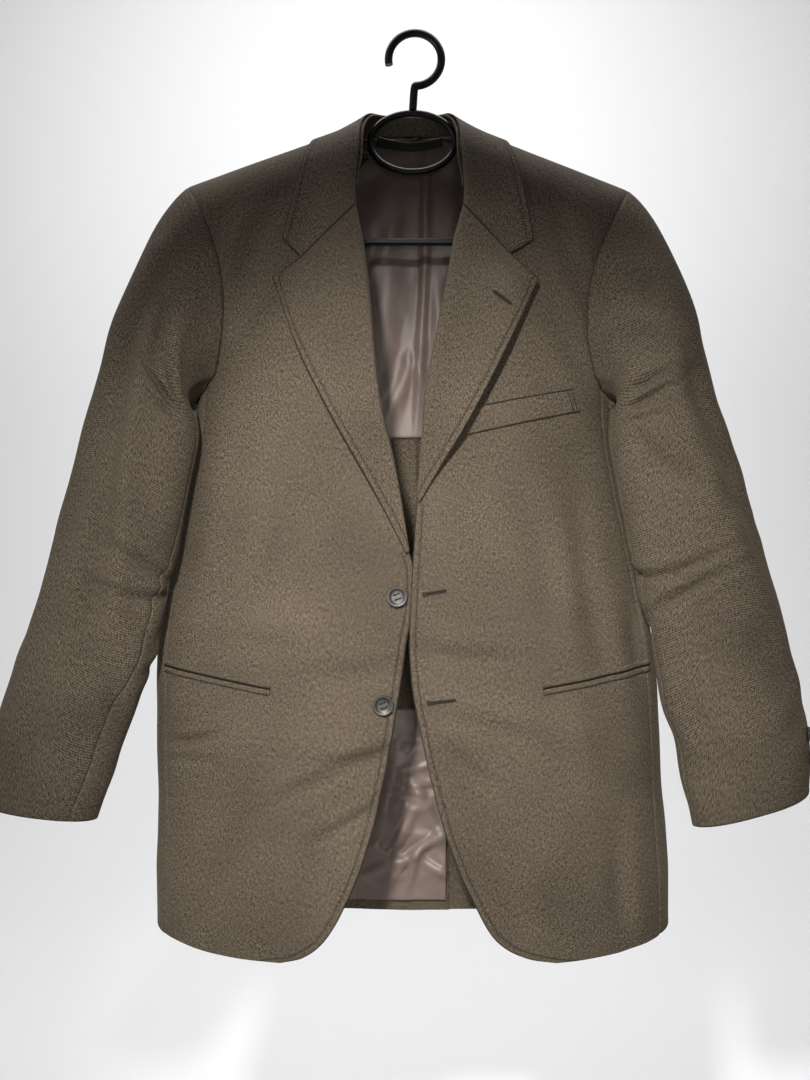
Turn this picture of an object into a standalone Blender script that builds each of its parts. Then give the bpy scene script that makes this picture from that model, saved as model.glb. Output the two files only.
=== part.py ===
"""A man's two-button blazer with notch lapels, hung open on a moulded hanger.

Sizes are in millimetres and are turned to metres where a mesh is made. +Z is up, the fronts face -Y, and
the origin is the inner top of the hanger's hook. Left and right are the wearer's, so left is +X.
Each cloth panel is a grid laid on the garment's form and given its wall inwards.
"""

import math
from collections import namedtuple

import bmesh
import bpy
from mathutils import Vector

MM = 0.001

# Cloth
WALL = 1.6
LINING_WALL = 1.0
LINING_CLEARANCE = 0.8
SEAM_GAP = 0.4
CENTRE_SEAM_GAP = 0.7
SLEEVE_SEAM_TRIM = 0.75
PANEL_ROWS = 25
SIDE_ROWS = 17
SLEEVE_ROWS = 20
OUTWARD_SIDEWAYS = 0.4
OUTWARD_UP = 40.0
SIDE_SEAM_TRIM = 0.22
SHOULDER_SPLIT = 0.5
COLUMN_TURN = 74.0
LEVEL_STEPS = 12
LEVEL_SHARE = 0.7
SHOULDER_START_Z = -130.0
PATCH_LIFT = 2.3
ROUNDNESS = 2.4
SIDE_SEAM_ANGLE = 68.0

# Shoulder line: neck point, its height and its fall for each millimetre outwards
NECK_POINT = {"left": 89.3, "right": 96.3}
NECK_POINT_Z = {"left": -109.6, "right": -107.5}
SHOULDER_FALL = {"left": 0.387, "right": 0.353}
SHOULDER_ROUND = 48.0
SHOULDER_ROWS_SHARE = 0.8
HEM_CROWDING = 1.6
SIGN = {"left": 1.0, "right": -1.0}

# Lengths
UNDERARM_Z = -362.0
UNDERARM_SCOOP = 15.0
VENT_TOP_Z = -672.0
VENT_UNDERLAP = 37.0
VENT_SLANT = 34.0
VENT_STEP = 2.4
VENT_STEP_END = (90.0, 150.0)
VENT_STEP_X = (-60.0, -12.0)
OVERLAP_STEP = 2.3
OVERLAP_FADE_X = (20.0, 60.0)
OVERLAP_FADE_Z = (-480.0, -430.0)
BACK_FOLD_SHARE = 0.6
BACK_NECK_Z = -91.0
NECK_CENTRE_X = -5.5

# Buttons
BUTTON_SIDES = 16
FRONT_BUTTON = 20.0
FRONT_BUTTON_SINK = 0.8
CUFF_BUTTON = 15.0
CUFF_BUTTON_LIFT = 2.7
FRONT_BUTTONS = {"upper": (-17.6, -563.8), "lower": (-30.7, -666.0)}
CUFF_BUTTON_STATIONS = (0.885, 0.935)
CUFF_BUTTON_ANGLE = {"left": 27.0, "right": -24.0}

# Hanger, moulded in one
HOOK_WIRE = 8.0
HOOK_RADIUS = 26.8
HOOK_OPEN_ANGLE = 192.0
RING_CENTRE_X = -2.2
RING_CENTRE_Z = -107.1
RING_HALF_WIDTH = 43.2
RING_HALF_HEIGHT = 29.7
RING_WIRE = 6.5
ARM_WIRE = 8.0
ARM_REACH = 186.0
ARM_ROOT_Z = -121.0
ARM_ROOT_OUT = 1.52
BAR_Z = -208.0
BAR_WIRE = 7.5
BAR_HALF_LENGTH = 150.0
TOUCH_GAP = 0.3
ARM_CLEARANCE = 1.0

BODY_COLUMNS = ("z", "half_width", "front_depth", "back_depth", "centre_x")
BODY_SECTIONS = (
    (-915, 257.7, 85, 54, -2.0),
    (-843, 257.0, 84, 53, -2.7),
    (-800, 254.4, 83, 52, -3.2),
    (-730, 253.9, 81, 51, -6.3),
    (-662, 252.6, 79, 50, -8.0),
    (-618, 250.0, 78, 50, -9.6),
    (-567, 241.9, 77, 50, -11.0),
    (-516, 230.7, 78, 50, -10.5),
    (-459, 218.6, 80, 52, -11.6),
    (-405, 209.0, 82, 52, -12.0),
    (-345, 206.0, 77, 52, -11.0),
    (-280, 222.0, 69, 50, -9.0),
    (-220, 258.0, 58, 49, -8.0),
    (-160, 300.0, 48, 47, -7.0),
    (-70, 330.0, 41, 44, -6.0),
)

ARMHOLE_COLUMNS = ("z", "left", "right")
ARMHOLE = (
    (-345, 174.0, 194.0),
    (-310, 166.3, 187.5),
    (-283, 167.0, 186.0),
    (-250, 172.0, 188.5),
    (-219, 183.5, 197.0),
    (-190, 197.0, 208.0),
    (-152, 218.0, 230.0),
)

FRONT_EDGE_COLUMNS = ("z", "x")
FRONT_EDGE = {
    "left": (
        (-909, 130.0),
        (-905, 107.5),
        (-896, 86.8),
        (-882, 71.5),
        (-852, 54.8),
        (-819, 39.8),
        (-784, 27.0),
        (-740, 15.0),
        (-686, 3.1),
        (-643, -4.4),
        (-606, -6.3),
        (-556, -4.5),
        (-503, -1.1),
        (-473, 0.6),
        (-435, 4.1),
        (-381, 7.2),
        (-352, 11.6),
        (-322, 17.6),
        (-287, 24.4),
        (-256, 30.4),
        (-222, 36.3),
        (-186, 46.0),
    ),
    "right": (
        (-909, -126.0),
        (-905, -107.9),
        (-892, -90.0),
        (-873, -76.0),
        (-860, -69.0),
        (-824, -53.4),
        (-777, -38.8),
        (-718, -26.1),
        (-675, -18.6),
        (-633, -12.0),
        (-606, -8.2),
        (-570, -2.0),
        (-540, -1.5),
        (-521, -5.7),
        (-503, -8.6),
        (-463, -14.8),
        (-420, -23.4),
        (-400, -29.0),
        (-350, -36.5),
        (-309, -40.2),
        (-281, -42.6),
        (-227, -49.2),
        (-186, -57.4),
    ),
}
ROLL_CLEARANCE = 2.6
LAPEL_FLAT_LIFT = 2.4
LAPEL_FULL_LIFT_WIDTH = 26.0

LAPEL_COLUMNS = ("run", "roll_z", "edge_x", "edge_z")
LAPEL = {
    "left": (
        (0.0, -470.0, 3.4, -476.0),
        (0.15, -430.0, 22.0, -444.0),
        (0.3, -385.0, 44.9, -407.0),
        (0.5, -320.0, 66.7, -367.0),
        (0.75, -248.0, 91.3, -317.8),
        (1.0, -186.0, 117.5, -262.0),
    ),
    "right": (
        (0.0, -521.0, -9.0, -524.0),
        (0.15, -478.0, -27.5, -487.0),
        (0.3, -425.0, -47.0, -451.0),
        (0.55, -335.0, -83.0, -387.0),
        (0.78, -258.0, -113.5, -325.0),
        (1.0, -186.0, -136.7, -259.5),
    ),
}
GORGE_NOTCH = {"left": (90.4, -237.2), "right": (-110.1, -239.6)}
GORGE_SHARE = 0.7
COLLAR_CORNER = {"left": (113.2, -222.0), "right": (-128.6, -220.2)}
LAPEL_PROFILE_COLUMNS = ("across", "share", "lift")
LAPEL_PROFILE = (
    (0.0, 0.0, -1.2),
    (0.125, 0.012, 1.8),
    (0.25, 0.05, 3.9),
    (0.375, 0.16, 4.4),
    (0.5, 0.32, 3.9),
    (0.625, 0.51, 3.3),
    (0.75, 0.7, 2.8),
    (0.875, 0.85, 2.5),
    (1.0, 1.0, 2.4),
)

COLLAR_COLUMNS = ("run", "fold_x", "fold_y", "fold_z", "edge_x", "edge_y", "edge_z", "seam_x", "seam_y", "seam_z")
COLLAR = (
    (0.0, 0.0, 38.0, -66.0, 0.0, 50.0, -109.0, 0.0, 35.5, -90.0),
    (0.16, 23.0, 34.5, -66.5, 34.0, 48.0, -109.0, 30.0, 32.0, -92.0),
    (0.32, 37.5, 20.0, -69.5, 70.0, 35.0, -108.0, 54.0, 22.0, -97.0),
    (0.46, 45.5, -6.0, -82.0, 92.0, 6.0, -105.0, 66.0, 2.0, -102.5),
    (0.6, 49.5, -30.0, -104.0, 98.0, -24.0, -118.0, 66.0, -22.0, -112.0),
    (0.74, 50.0, -43.0, -130.0, 106.0, -45.0, -145.0, 61.0, -37.0, -137.0),
    (0.88, 54.0, -50.0, -160.0, 114.0, -56.0, -182.0, 61.0, -45.0, -162.0),
    (1.0, 52.5, -54.0, -186.0, 121.0, -62.0, -221.0, 60.0, -49.0, -181.0),
)
COLLAR_LIFT = 3.2
GORGE_CLEARANCE = 1.0
STAND_INSET = 2.2
STAND_CENTRE_FORWARD = 14.0
STAND_SHARE = 0.9
STAND_OVER_BACK = 2.5

SLEEVE_COLUMNS = ("run", "outer_x", "outer_z", "inner_x", "inner_z", "centre_y", "half_depth")
SLEEVE = {
    "left": (
        (0.16, 273.1, -304.0, 189.0, -390.0, -52.0, 42.0),
        (0.25, 286.6, -363.4, 187.0, -410.0, -52.0, 42.0),
        (0.34, 302.1, -413.6, 195.5, -461.0, -53.0, 41.0),
        (0.44, 317.6, -466.8, 207.4, -516.1, -53.0, 40.0),
        (0.53, 333.0, -515.1, 217.1, -564.4, -53.0, 40.0),
        (0.63, 347.5, -565.4, 227.7, -612.8, -53.0, 39.0),
        (0.75, 363.0, -632.1, 239.3, -672.7, -53.0, 37.0),
        (0.82, 371.7, -664.9, 249.9, -703.6, -53.0, 36.0),
        (0.93, 379.4, -713.3, 260.6, -753.9, -53.0, 34.0),
        (1.0, 379.5, -752.0, 267.3, -785.8, -53.0, 33.0),
    ),
    "right": (
        (0.16, 290.4, -301.1, 213.5, -392.0, -50.0, 43.0),
        (0.25, 303.9, -357.6, 209.2, -411.7, -52.0, 42.0),
        (0.34, 318.4, -405.9, 217.9, -458.1, -53.0, 41.0),
        (0.44, 334.9, -466.8, 228.9, -520.0, -53.0, 40.0),
        (0.53, 351.3, -518.0, 241.1, -568.3, -53.0, 40.0),
        (0.63, 368.7, -576.0, 249.8, -616.6, -53.0, 39.0),
        (0.75, 386.1, -628.2, 266.2, -665.0, -53.0, 37.0),
        (0.82, 397.7, -667.9, 280.7, -698.8, -53.0, 36.0),
        (0.93, 410.3, -713.3, 294.3, -743.3, -53.0, 34.0),
        (1.0, 420.9, -761.6, 306.8, -779.0, -53.0, 33.0),
    ),
}
CAP_SHARE = 0.16
CAP_OUTWARD = 34.0
CAP_LIFT = 46.0
UNDERARM_OUTWARD = 38.0
SLEEVE_START_GAP = 2.0
SLEEVE_LENGTH = 640.0
ROUND_ARM_MM_PER_DEGREE = 0.85
SEAM_COLUMNS = ("run", "back_angle", "front_angle")
SLEEVE_SEAMS = {
    "left": ((0.0, -62.0, 158.0), (0.5, -50.0, 165.0), (0.8, -8.0, 166.0), (1.0, 14.0, 166.0)),
    "right": ((0.0, -62.0, 158.0), (0.5, -52.0, 152.0), (0.8, -40.0, 138.0), (1.0, -34.0, 130.0)),
}

# Large folds: the centre, the trough's turn from across in degrees, length, width and depth (minus is a ridge)
Fold = namedtuple("Fold", ("x", "z", "turn", "length", "width", "depth"))
BODY_FOLDS = (
    Fold(-55, -755, 18, 150, 34, 3.0),
    Fold(-100, -700, 8, 190, 30, -2.2),
    Fold(60, -650, -14, 150, 34, 2.6),
    Fold(110, -600, -8, 190, 36, -2.0),
    Fold(-150, -430, 62, 150, 40, 2.6),
    Fold(150, -430, -66, 150, 40, 2.4),
    Fold(-190, -760, 84, 180, 34, 2.4),
    Fold(190, -790, -84, 180, 34, 2.4),
    Fold(30, -850, 74, 120, 36, -2.0),
    Fold(-140, -860, 80, 120, 36, 2.0),
)
SleeveFold = namedtuple("SleeveFold", ("run", "angle", "turn", "length", "width", "depth"))
SLEEVE_FOLDS = {
    "left": (
        SleeveFold(0.2, 120, 40, 120, 26, 4.0),
        SleeveFold(0.12, 62, 80, 90, 24, 3.0),
        SleeveFold(0.5, 60, 84, 240, 40, -3.0),
        SleeveFold(0.55, 130, 30, 110, 28, 3.0),
    ),
    "right": (
        SleeveFold(0.36, 40, 82, 300, 40, 5.0),
        SleeveFold(0.2, 130, -35, 120, 26, 4.0),
        SleeveFold(0.58, 120, -24, 120, 30, 3.0),
        SleeveFold(0.75, 70, 80, 160, 34, -2.5),
    ),
}

# Pockets: the two ends of the lower and upper edges, as (x, z)
BREAST_WELT = ((62.0, -384.5), (152.0, -366.0), (48.5, -411.0), (158.5, -386.0))
HIP_POCKET_HALF = 54.0
HIP_POCKET = {"left": (175.5, -642.5, 9.5), "right": (-192.5, -642.5, -9.4)}
JET_HEIGHT = 5.2
JET_SLIT = 1.6
WELT_WALL = 1.4
JET_WALL = 1.2

# Inside the back: low and high edge, the wearer's right and left edge
Stretch = namedtuple("Stretch", ("low_z", "high_z", "right_x", "left_x"))
LINING = {"upper": Stretch(-402.5, -92.0, -115.0, 105.0), "lower": Stretch(-891.0, -689.0, -150.0, 33.0)}
LINING_TOP_DROP = 3.0
LINING_SHOULDER_DROP = 48.0
LINING_SHOULDER_X = (26.0, 100.0)
LINING_ROW_CROWDING = 0.75
LINING_NECK_Z = (-260.0, -150.0)
LINING_NECK_INSET = 1.1
LABEL = Stretch(-104.0, -96.5, -38.5, 28.8)
LABEL_BOW = 2.0
LABEL_INSET = 3.4
LABEL_WALL = 1.0


def smooth(keys, values):
    """A smooth function through the values at the keys, which rise; straight on past the ends."""
    slopes = [(b - a) / (q - p) for a, b, p, q in zip(values, values[1:], keys, keys[1:])]
    tangents = [slopes[0]]
    for before, after in zip(slopes, slopes[1:]):
        tangents.append(0.0 if before * after <= 0 else 2 * before * after / (before + after))
    tangents.append(slopes[-1])

    def value_at(key):
        i = 0
        while i < len(slopes) - 1 and key > keys[i + 1]:
            i += 1
        span = keys[i + 1] - keys[i]
        t = (key - keys[i]) / span
        if t < 0:
            return values[0] + tangents[0] * (key - keys[0])
        if t > 1:
            return values[-1] + tangents[-1] * (key - keys[-1])
        straight = values[i] + (values[i + 1] - values[i]) * t * t * (3 - 2 * t)
        return straight + span * t * (1 - t) * ((1 - t) * tangents[i] - t * tangents[i + 1])

    return value_at


def read_table(columns, rows):
    """The columns of a table by name, each a smooth function of the first."""
    keys = [row[0] for row in rows]
    return {name: smooth(keys, [row[i] for row in rows]) for i, name in enumerate(columns) if i}


BODY = read_table(BODY_COLUMNS, BODY_SECTIONS)
ARM_EDGE = read_table(ARMHOLE_COLUMNS, ARMHOLE)
EDGE = {side: read_table(FRONT_EDGE_COLUMNS, rows)["x"] for side, rows in FRONT_EDGE.items()}
LAPEL_LINES = {side: read_table(LAPEL_COLUMNS, rows) for side, rows in LAPEL.items()}
PROFILE = read_table(LAPEL_PROFILE_COLUMNS, LAPEL_PROFILE)
COLLAR_LINES = read_table(COLLAR_COLUMNS, COLLAR)
SLEEVE_LINES = {side: read_table(SLEEVE_COLUMNS, rows) for side, rows in SLEEVE.items()}
SEAM_LINES = {side: read_table(SEAM_COLUMNS, rows) for side, rows in SLEEVE_SEAMS.items()}
FRONT_HEM = smooth((0, 130, 190, 245), (-909.5, -909.5, -906.0, -897.0))
BACK_HEM = smooth((0, 150, 245), (-903.0, -900.0, -893.0))
SIDE_HEM = smooth((0.0, 0.5, 1.0), (-897.0, -892.0, -893.0))
BACK_NECKLINE = smooth((0, 45, 89), (BACK_NECK_Z, -95.0, -108.5))


def blend(a, b, t):
    """Between a and b by the share t."""
    return a + (b - a) * t


def step(low, high, value):
    """0 up to low, 1 from high, and smooth between."""
    t = min(1.0, max(0.0, (value - low) / (high - low)))
    return t * t * (3 - 2 * t)


def shoulder_z(x):
    """Height of the shoulder line, carried on over the neck."""
    heights = [
        NECK_POINT_Z[side] - SHOULDER_FALL[side] * (abs(x) - NECK_POINT[side]) for side in ("right", "left")
    ]
    return blend(heights[0], heights[1], step(-30, 30, x))


def section_depth(x, z, front, out):
    """Depth of the body's section at x and z, before the shoulder rounds it off."""
    half_width = BODY["half_width"](z) + out
    depth = BODY["front_depth" if front else "back_depth"](z) + out
    across = min(1.0, abs((x - BODY["centre_x"](z)) / half_width))
    return depth * (1 - across**ROUNDNESS) ** (1 / ROUNDNESS)


def trough(fold, along, across):
    """A fold's depth at a distance along it and across it."""
    tilt = math.radians(fold.turn)
    down_fold = along * math.cos(tilt) + across * math.sin(tilt)
    over_fold = across * math.cos(tilt) - along * math.sin(tilt)
    return fold.depth * math.exp(-((2 * down_fold / fold.length) ** 2) - (1.6 * over_fold / fold.width) ** 2)


def fold_depth(x, z):
    """How far the large folds draw the cloth in at this place."""
    return sum(trough(fold, x - fold.x, z - fold.z) for fold in BODY_FOLDS)


def body_y(x, z, front, out=0.0):
    """Y of the front or the back at x and z, moved out from the body's form."""
    drop = shoulder_z(x) + out - z
    height = SHOULDER_ROUND + out
    round_off = 1.0 if drop >= height else math.sqrt(max(0.0, 1 - (1 - max(0.0, drop) / height) ** 2))
    depth = SHOULDER_SPLIT + section_depth(x, z, front, out) * round_off
    if front:
        return -depth + fold_depth(x, z) * round_off
    return depth - BACK_FOLD_SHARE * fold_depth(-x, z) * round_off


def push_out(x, y, z, out):
    """The point, moved straight out of the body's form where it lies nearer than out."""
    depth = SHOULDER_SPLIT + section_depth(x, z, y < 0, out)
    height = SHOULDER_ROUND + out
    base = shoulder_z(x) + out - height
    if z <= base:
        return x, math.copysign(max(abs(y), abs(body_y(x, z, y < 0, out))), y), z
    reach = math.hypot(y / depth, (z - base) / height)
    if reach >= 1:
        return x, y, z
    return x, y / reach, base + (z - base) / reach


def side_seam_x(z, side):
    """Where the side seam lies."""
    share = math.sin(math.radians(SIDE_SEAM_ANGLE)) ** (2 / ROUNDNESS)
    return BODY["centre_x"](z) + SIGN[side] * share * BODY["half_width"](z)


def outer_x(z, side):
    """Outer edge of a front or back: the side seam, and above the underarm the armhole."""
    seam = side_seam_x(max(z, -900) if z < UNDERARM_Z else UNDERARM_Z, side)
    arm = SIGN[side] * ARM_EDGE[side](max(z, ARMHOLE[0][0]))
    return blend(seam, arm, step(UNDERARM_Z, ARMHOLE[0][0], z))


def inner_x(z, side):
    """Inner edge of a front: its front edge, the roll line, and then the neckline under the collar."""
    sign = SIGN[side]
    break_z = LAPEL[side][0][1]
    gorge_z = FRONT_EDGE[side][-1][0]
    x = EDGE[side](min(z, gorge_z)) + sign * ROLL_CLEARANCE * step(break_z - 6, break_z + 10, z)
    neck = sign * (NECK_POINT[side] - 2.0)
    return blend(x, neck, step(gorge_z + 4, NECK_POINT_Z[side] - 2, z))


def level_z(x, run, hem):
    """Height at this share of the way up a panel: even rows to the chest, then rows round the shoulder."""
    chest = shoulder_z(x) - SHOULDER_ROUND
    if run <= SHOULDER_ROWS_SHARE:
        return blend(hem(x), chest, (run / SHOULDER_ROWS_SHARE) ** HEM_CROWDING)
    turn = math.radians(90 * (1 - run) / (1 - SHOULDER_ROWS_SHARE))
    return shoulder_z(x) - SHOULDER_ROUND * (1 - math.cos(turn))


def column_share(across):
    """Share of a panel's width at this column: the columns crowd toward its outer edge."""
    return math.sin(math.radians(COLUMN_TURN * across)) / math.sin(math.radians(COLUMN_TURN))


def overlap_step(side, x, z):
    """How far the left front stands out where it laps over the right one."""
    if side == "right":
        return 0.0
    return OVERLAP_STEP * (1 - step(*OVERLAP_FADE_X, x)) * (1 - step(*OVERLAP_FADE_Z, z))


def front_point(side, across, run):
    """A front, from its front edge to the side seam and from the hem to the shoulder."""
    share = column_share(across)
    z = blend(FRONT_HEM(0), SHOULDER_START_Z, run)
    for _ in range(LEVEL_STEPS):
        x = blend(inner_x(z, side), outer_x(z, side) - SIGN[side] * SEAM_GAP / 2, share)
        z = blend(z, level_z(x, run, lambda at: FRONT_HEM(abs(at))), LEVEL_SHARE)
    return Vector((x, body_y(x, z, True) - overlap_step(side, x, z), z))


def vent_step(x, z):
    """How far the vent's underlap lies inside the other back half."""
    low, high = VENT_STEP_END
    return VENT_STEP * (1 - step(VENT_TOP_Z + low, VENT_TOP_Z + high, z)) * step(*VENT_STEP_X, x)


def back_point(side, across, run):
    """A back half, from the centre seam to the side seam and from the hem to the shoulder."""
    share = column_share(across)
    z = blend(BACK_HEM(0), SHOULDER_START_Z, run)
    for _ in range(LEVEL_STEPS):
        centre = SIGN[side] * CENTRE_SEAM_GAP / 2
        if side == "right":
            centre = blend(VENT_UNDERLAP, centre, step(VENT_TOP_Z, VENT_TOP_Z + VENT_SLANT, z))
        x = blend(centre, outer_x(z, side) - SIGN[side] * SEAM_GAP / 2, share)
        level = level_z(x, run, lambda at: BACK_HEM(abs(at)))
        if abs(x) < NECK_POINT["left"]:
            level = min(level, BACK_NECKLINE(abs(x)))
        z = blend(z, level, LEVEL_SHARE)
    y = body_y(x, z, False)
    return Vector((x, y - vent_step(x, z) if side == "right" else y, z))


def side_point(side, across, run):
    """A side panel, round under the arm from the front's seam to the back's."""
    low = SIDE_SEAM_ANGLE + SIDE_SEAM_TRIM
    angle = math.radians(blend(low, 180 - low, across))
    z = UNDERARM_Z - UNDERARM_SCOOP * math.sin(math.pi * across)
    row = run * SIDE_ROWS
    if row < SIDE_ROWS - 0.5:
        z = min(z - 10, level_z(side_seam_x(z, side), row / PANEL_ROWS, lambda at: SIDE_HEM(across)))
    x = BODY["centre_x"](z) + SIGN[side] * BODY["half_width"](z) * math.sin(angle) ** (2 / ROUNDNESS)
    depth = BODY["front_depth" if across < 0.5 else "back_depth"](z)
    y = math.copysign(SHOULDER_SPLIT + depth * abs(math.cos(angle)) ** (2 / ROUNDNESS), across - 0.5)
    if across < 0.5:
        return Vector((x, y + fold_depth(x, z) * (1 - 2 * across), z))
    return Vector((x, y - BACK_FOLD_SHARE * fold_depth(-x, z) * (2 * across - 1), z))


def armhole_half(side, front):
    """The armhole's edge, row by row, from the shoulder down to the lowest point under the arm."""
    place = front_point if front else back_point
    points = [place(side, 1.0, row / PANEL_ROWS) for row in range(PANEL_ROWS, SIDE_ROWS - 1, -1)]
    points.extend(side_point(side, 0.1 * i if front else 1 - 0.1 * i, 1.0) for i in range(6))
    return points


def resample(points, count):
    """The path's points again, count + 1 of them, evenly spaced."""
    lengths = [0.0]
    for a, b in zip(points, points[1:]):
        lengths.append(lengths[-1] + (b - a).length)
    result = []
    for i in range(count + 1):
        target = lengths[-1] * i / count
        j = 0
        while j < len(lengths) - 2 and lengths[j + 1] < target:
            j += 1
        result.append(points[j].lerp(points[j + 1], (target - lengths[j]) / max(1e-9, lengths[j + 1] - lengths[j])))
    return result


HALF_LOOP = 60
ARMHOLE_LOOP = {
    side: {front: resample(armhole_half(side, front), HALF_LOOP) for front in (True, False)} for side in SIGN
}


def armhole_point(side, angle):
    """The armhole at this angle: 0 the shoulder, 90 the front, 180 under the arm."""
    angle = (angle + 180) % 360 - 180
    place = abs(angle) / 180 * HALF_LOOP
    i = min(HALF_LOOP - 1, int(place))
    half = ARMHOLE_LOOP[side][angle >= 0]
    return half[i].lerp(half[i + 1], place - i) + Vector((SIGN[side] * SLEEVE_START_GAP, 0, 0))


def ring_point(side, angle, run):
    """A sleeve's section: an ellipse across the arm."""
    lines = SLEEVE_LINES[side]
    sign = SIGN[side]
    outer = Vector((sign * lines["outer_x"](run), 0, lines["outer_z"](run)))
    inner = Vector((sign * lines["inner_x"](run), 0, lines["inner_z"](run)))
    turn = math.radians(angle)
    centre = (outer + inner) / 2 + Vector((0, lines["centre_y"](run), 0))
    half = (outer - inner) / 2
    return centre + half * math.cos(turn) - Vector((0, lines["half_depth"](run), 0)) * math.sin(turn)


def sleeve_point(side, angle, run, out=0.0):
    """A point of the sleeve: from the armhole through the cap, then down the rings to the cuff."""
    if run >= CAP_SHARE:
        point = ring_point(side, angle, run)
    else:
        t = run / CAP_SHARE
        start = armhole_point(side, angle)
        end = ring_point(side, angle, CAP_SHARE)
        after = (ring_point(side, angle, CAP_SHARE + 0.01) - end) * (CAP_SHARE / 0.01)
        top = (1 + math.cos(math.radians(angle))) / 2
        leave = (end - start) * 0.8 + Vector((SIGN[side] * CAP_OUTWARD, 0, CAP_LIFT)) * top
        leave += Vector((SIGN[side] * UNDERARM_OUTWARD, 0, 0)) * (1 - top)
        h = (2 * t**3 - 3 * t**2 + 1, t**3 - 2 * t**2 + t, -2 * t**3 + 3 * t**2, t**3 - t**2)
        point = start * h[0] + leave * h[1] + end * h[2] + after * h[3]
    centre = (ring_point(side, 0, max(run, CAP_SHARE)) + ring_point(side, 180, max(run, CAP_SHARE))) / 2
    outward = point - Vector((centre.x, centre.y, point.z))
    return point + outward.normalized() * (out - sleeve_fold(side, angle, run))


def sleeve_fold(side, angle, run):
    """How far the large folds draw a sleeve in at this place."""
    total = 0.0
    for fold in SLEEVE_FOLDS[side]:
        round_arm = ((angle - fold.angle + 180) % 360 - 180) * ROUND_ARM_MM_PER_DEGREE
        total += trough(fold, round_arm, (run - fold.run) * SLEEVE_LENGTH)
    return total * step(0.0, 0.06, run)


def lapel_point(side, across, run):
    """The lapel: rolled at its roll line, and lying on the front out to its edge."""
    lines = LAPEL_LINES[side]
    roll_z = lines["roll_z"](run)
    roll_x = EDGE[side](roll_z)
    edge_x = lines["edge_x"](run)
    edge_z = lines["edge_z"](run)
    share = PROFILE["share"](across)
    notch_x, notch_z = GORGE_NOTCH[side]
    x = blend(roll_x, edge_x, share)
    z = blend(roll_z, edge_z, share)
    if share < GORGE_SHARE:
        bent = blend(roll_x, notch_x, share / GORGE_SHARE), blend(roll_z, notch_z, share / GORGE_SHARE)
    else:
        past = (share - GORGE_SHARE) / (1 - GORGE_SHARE)
        bent = blend(notch_x, edge_x, past), blend(notch_z, edge_z, past)
    near_gorge = step(0.7, 1.0, run)
    x = blend(x, bent[0], near_gorge)
    z = blend(z, bent[1], near_gorge)
    lift = blend(LAPEL_FLAT_LIFT, PROFILE["lift"](across), min(1.0, abs(edge_x - roll_x) / LAPEL_FULL_LIFT_WIDTH))
    return Vector((x, body_y(x, z, True) - lift - overlap_step(side, x, z), z))


def collar_end(side, across):
    """The end of the collar: along the gorge seam to the notch, then up to the collar's corner."""
    share = PROFILE["share"](across)
    notch_x, notch_z = GORGE_NOTCH[side]
    corner_x, corner_z = COLLAR_CORNER[side]
    roll_z = LAPEL[side][-1][1]
    roll_x = EDGE[side](roll_z)
    if share < GORGE_SHARE:
        x = blend(roll_x, notch_x, share / GORGE_SHARE)
        z = blend(roll_z, notch_z, share / GORGE_SHARE)
    else:
        past = (share - GORGE_SHARE) / (1 - GORGE_SHARE)
        x = blend(notch_x, corner_x, past)
        z = blend(notch_z, corner_z, past)
    lift = PROFILE["lift"](across)
    z += GORGE_CLEARANCE
    return Vector((x, body_y(x, z, True) - lift, z))


def collar_point(across, run):
    """The collar's fall from its fold to its outer edge; run goes from the right gorge round to the left."""
    side = "left" if run > 0.5 else "right"
    place = abs(2 * run - 1)
    share = PROFILE["share"](across)
    values = {name: COLLAR_LINES[name](min(place, 1.0)) for name in COLLAR_COLUMNS[1:]}
    x = NECK_CENTRE_X + SIGN[side] * blend(values["fold_x"], values["edge_x"], share)
    y = blend(values["fold_y"], values["edge_y"], share)
    z = blend(values["fold_z"], values["edge_z"], share)
    lift = PROFILE["lift"](across)
    x, y, z = push_out(x, y, z, max(COLLAR_LIFT, lift))
    near_end = step(0.72, 1.0, place)
    return Vector((x, y, z)).lerp(collar_end(side, across), near_end)


def stand_point(across, run):
    """The collar's stand: inside the fold, down to the neck seam."""
    side = "left" if run > 0.5 else "right"
    place = abs(2 * run - 1) * STAND_SHARE
    values = {name: COLLAR_LINES[name](place) for name in COLLAR_COLUMNS[1:]}
    fold = Vector((SIGN[side] * values["fold_x"], values["fold_y"], values["fold_z"] - STAND_INSET))
    seam = Vector((SIGN[side] * values["seam_x"], values["seam_y"], values["seam_z"]))
    if seam.y > 0:
        seam.z = max(seam.z, BACK_NECKLINE(seam.x * SIGN[side]) + STAND_OVER_BACK)
    point = fold.lerp(seam, across)
    inward = Vector((-fold.x, -fold.y - STAND_CENTRE_FORWARD, 0)).normalized() * STAND_INSET * 1.5
    return point + inward * (1 - 0.6 * across) + Vector((NECK_CENTRE_X, 0, 0))


def lining_y(x, z):
    """The lining's side toward the back half, which it hangs clear of."""
    inset = WALL + LINING_CLEARANCE + LINING_NECK_INSET * step(*LINING_NECK_Z, z)
    return body_y(x, z, False) - inset - vent_step(min(x, VENT_STEP_X[1]), z)


def lining_point(stretch):
    """A function for a stretch of back lining, inside the back."""

    def point(across, run):
        x = blend(stretch.right_x, stretch.left_x, across)
        top = stretch.high_z
        if stretch is LINING["upper"]:
            shoulder_drop = LINING_SHOULDER_DROP * step(*LINING_SHOULDER_X, abs(x))
            top = BACK_NECKLINE(min(NECK_POINT["left"], abs(x))) - LINING_TOP_DROP - shoulder_drop
        z = blend(stretch.low_z, top, run**LINING_ROW_CROWDING)
        return Vector((x, lining_y(x, z), z))

    return point


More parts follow.
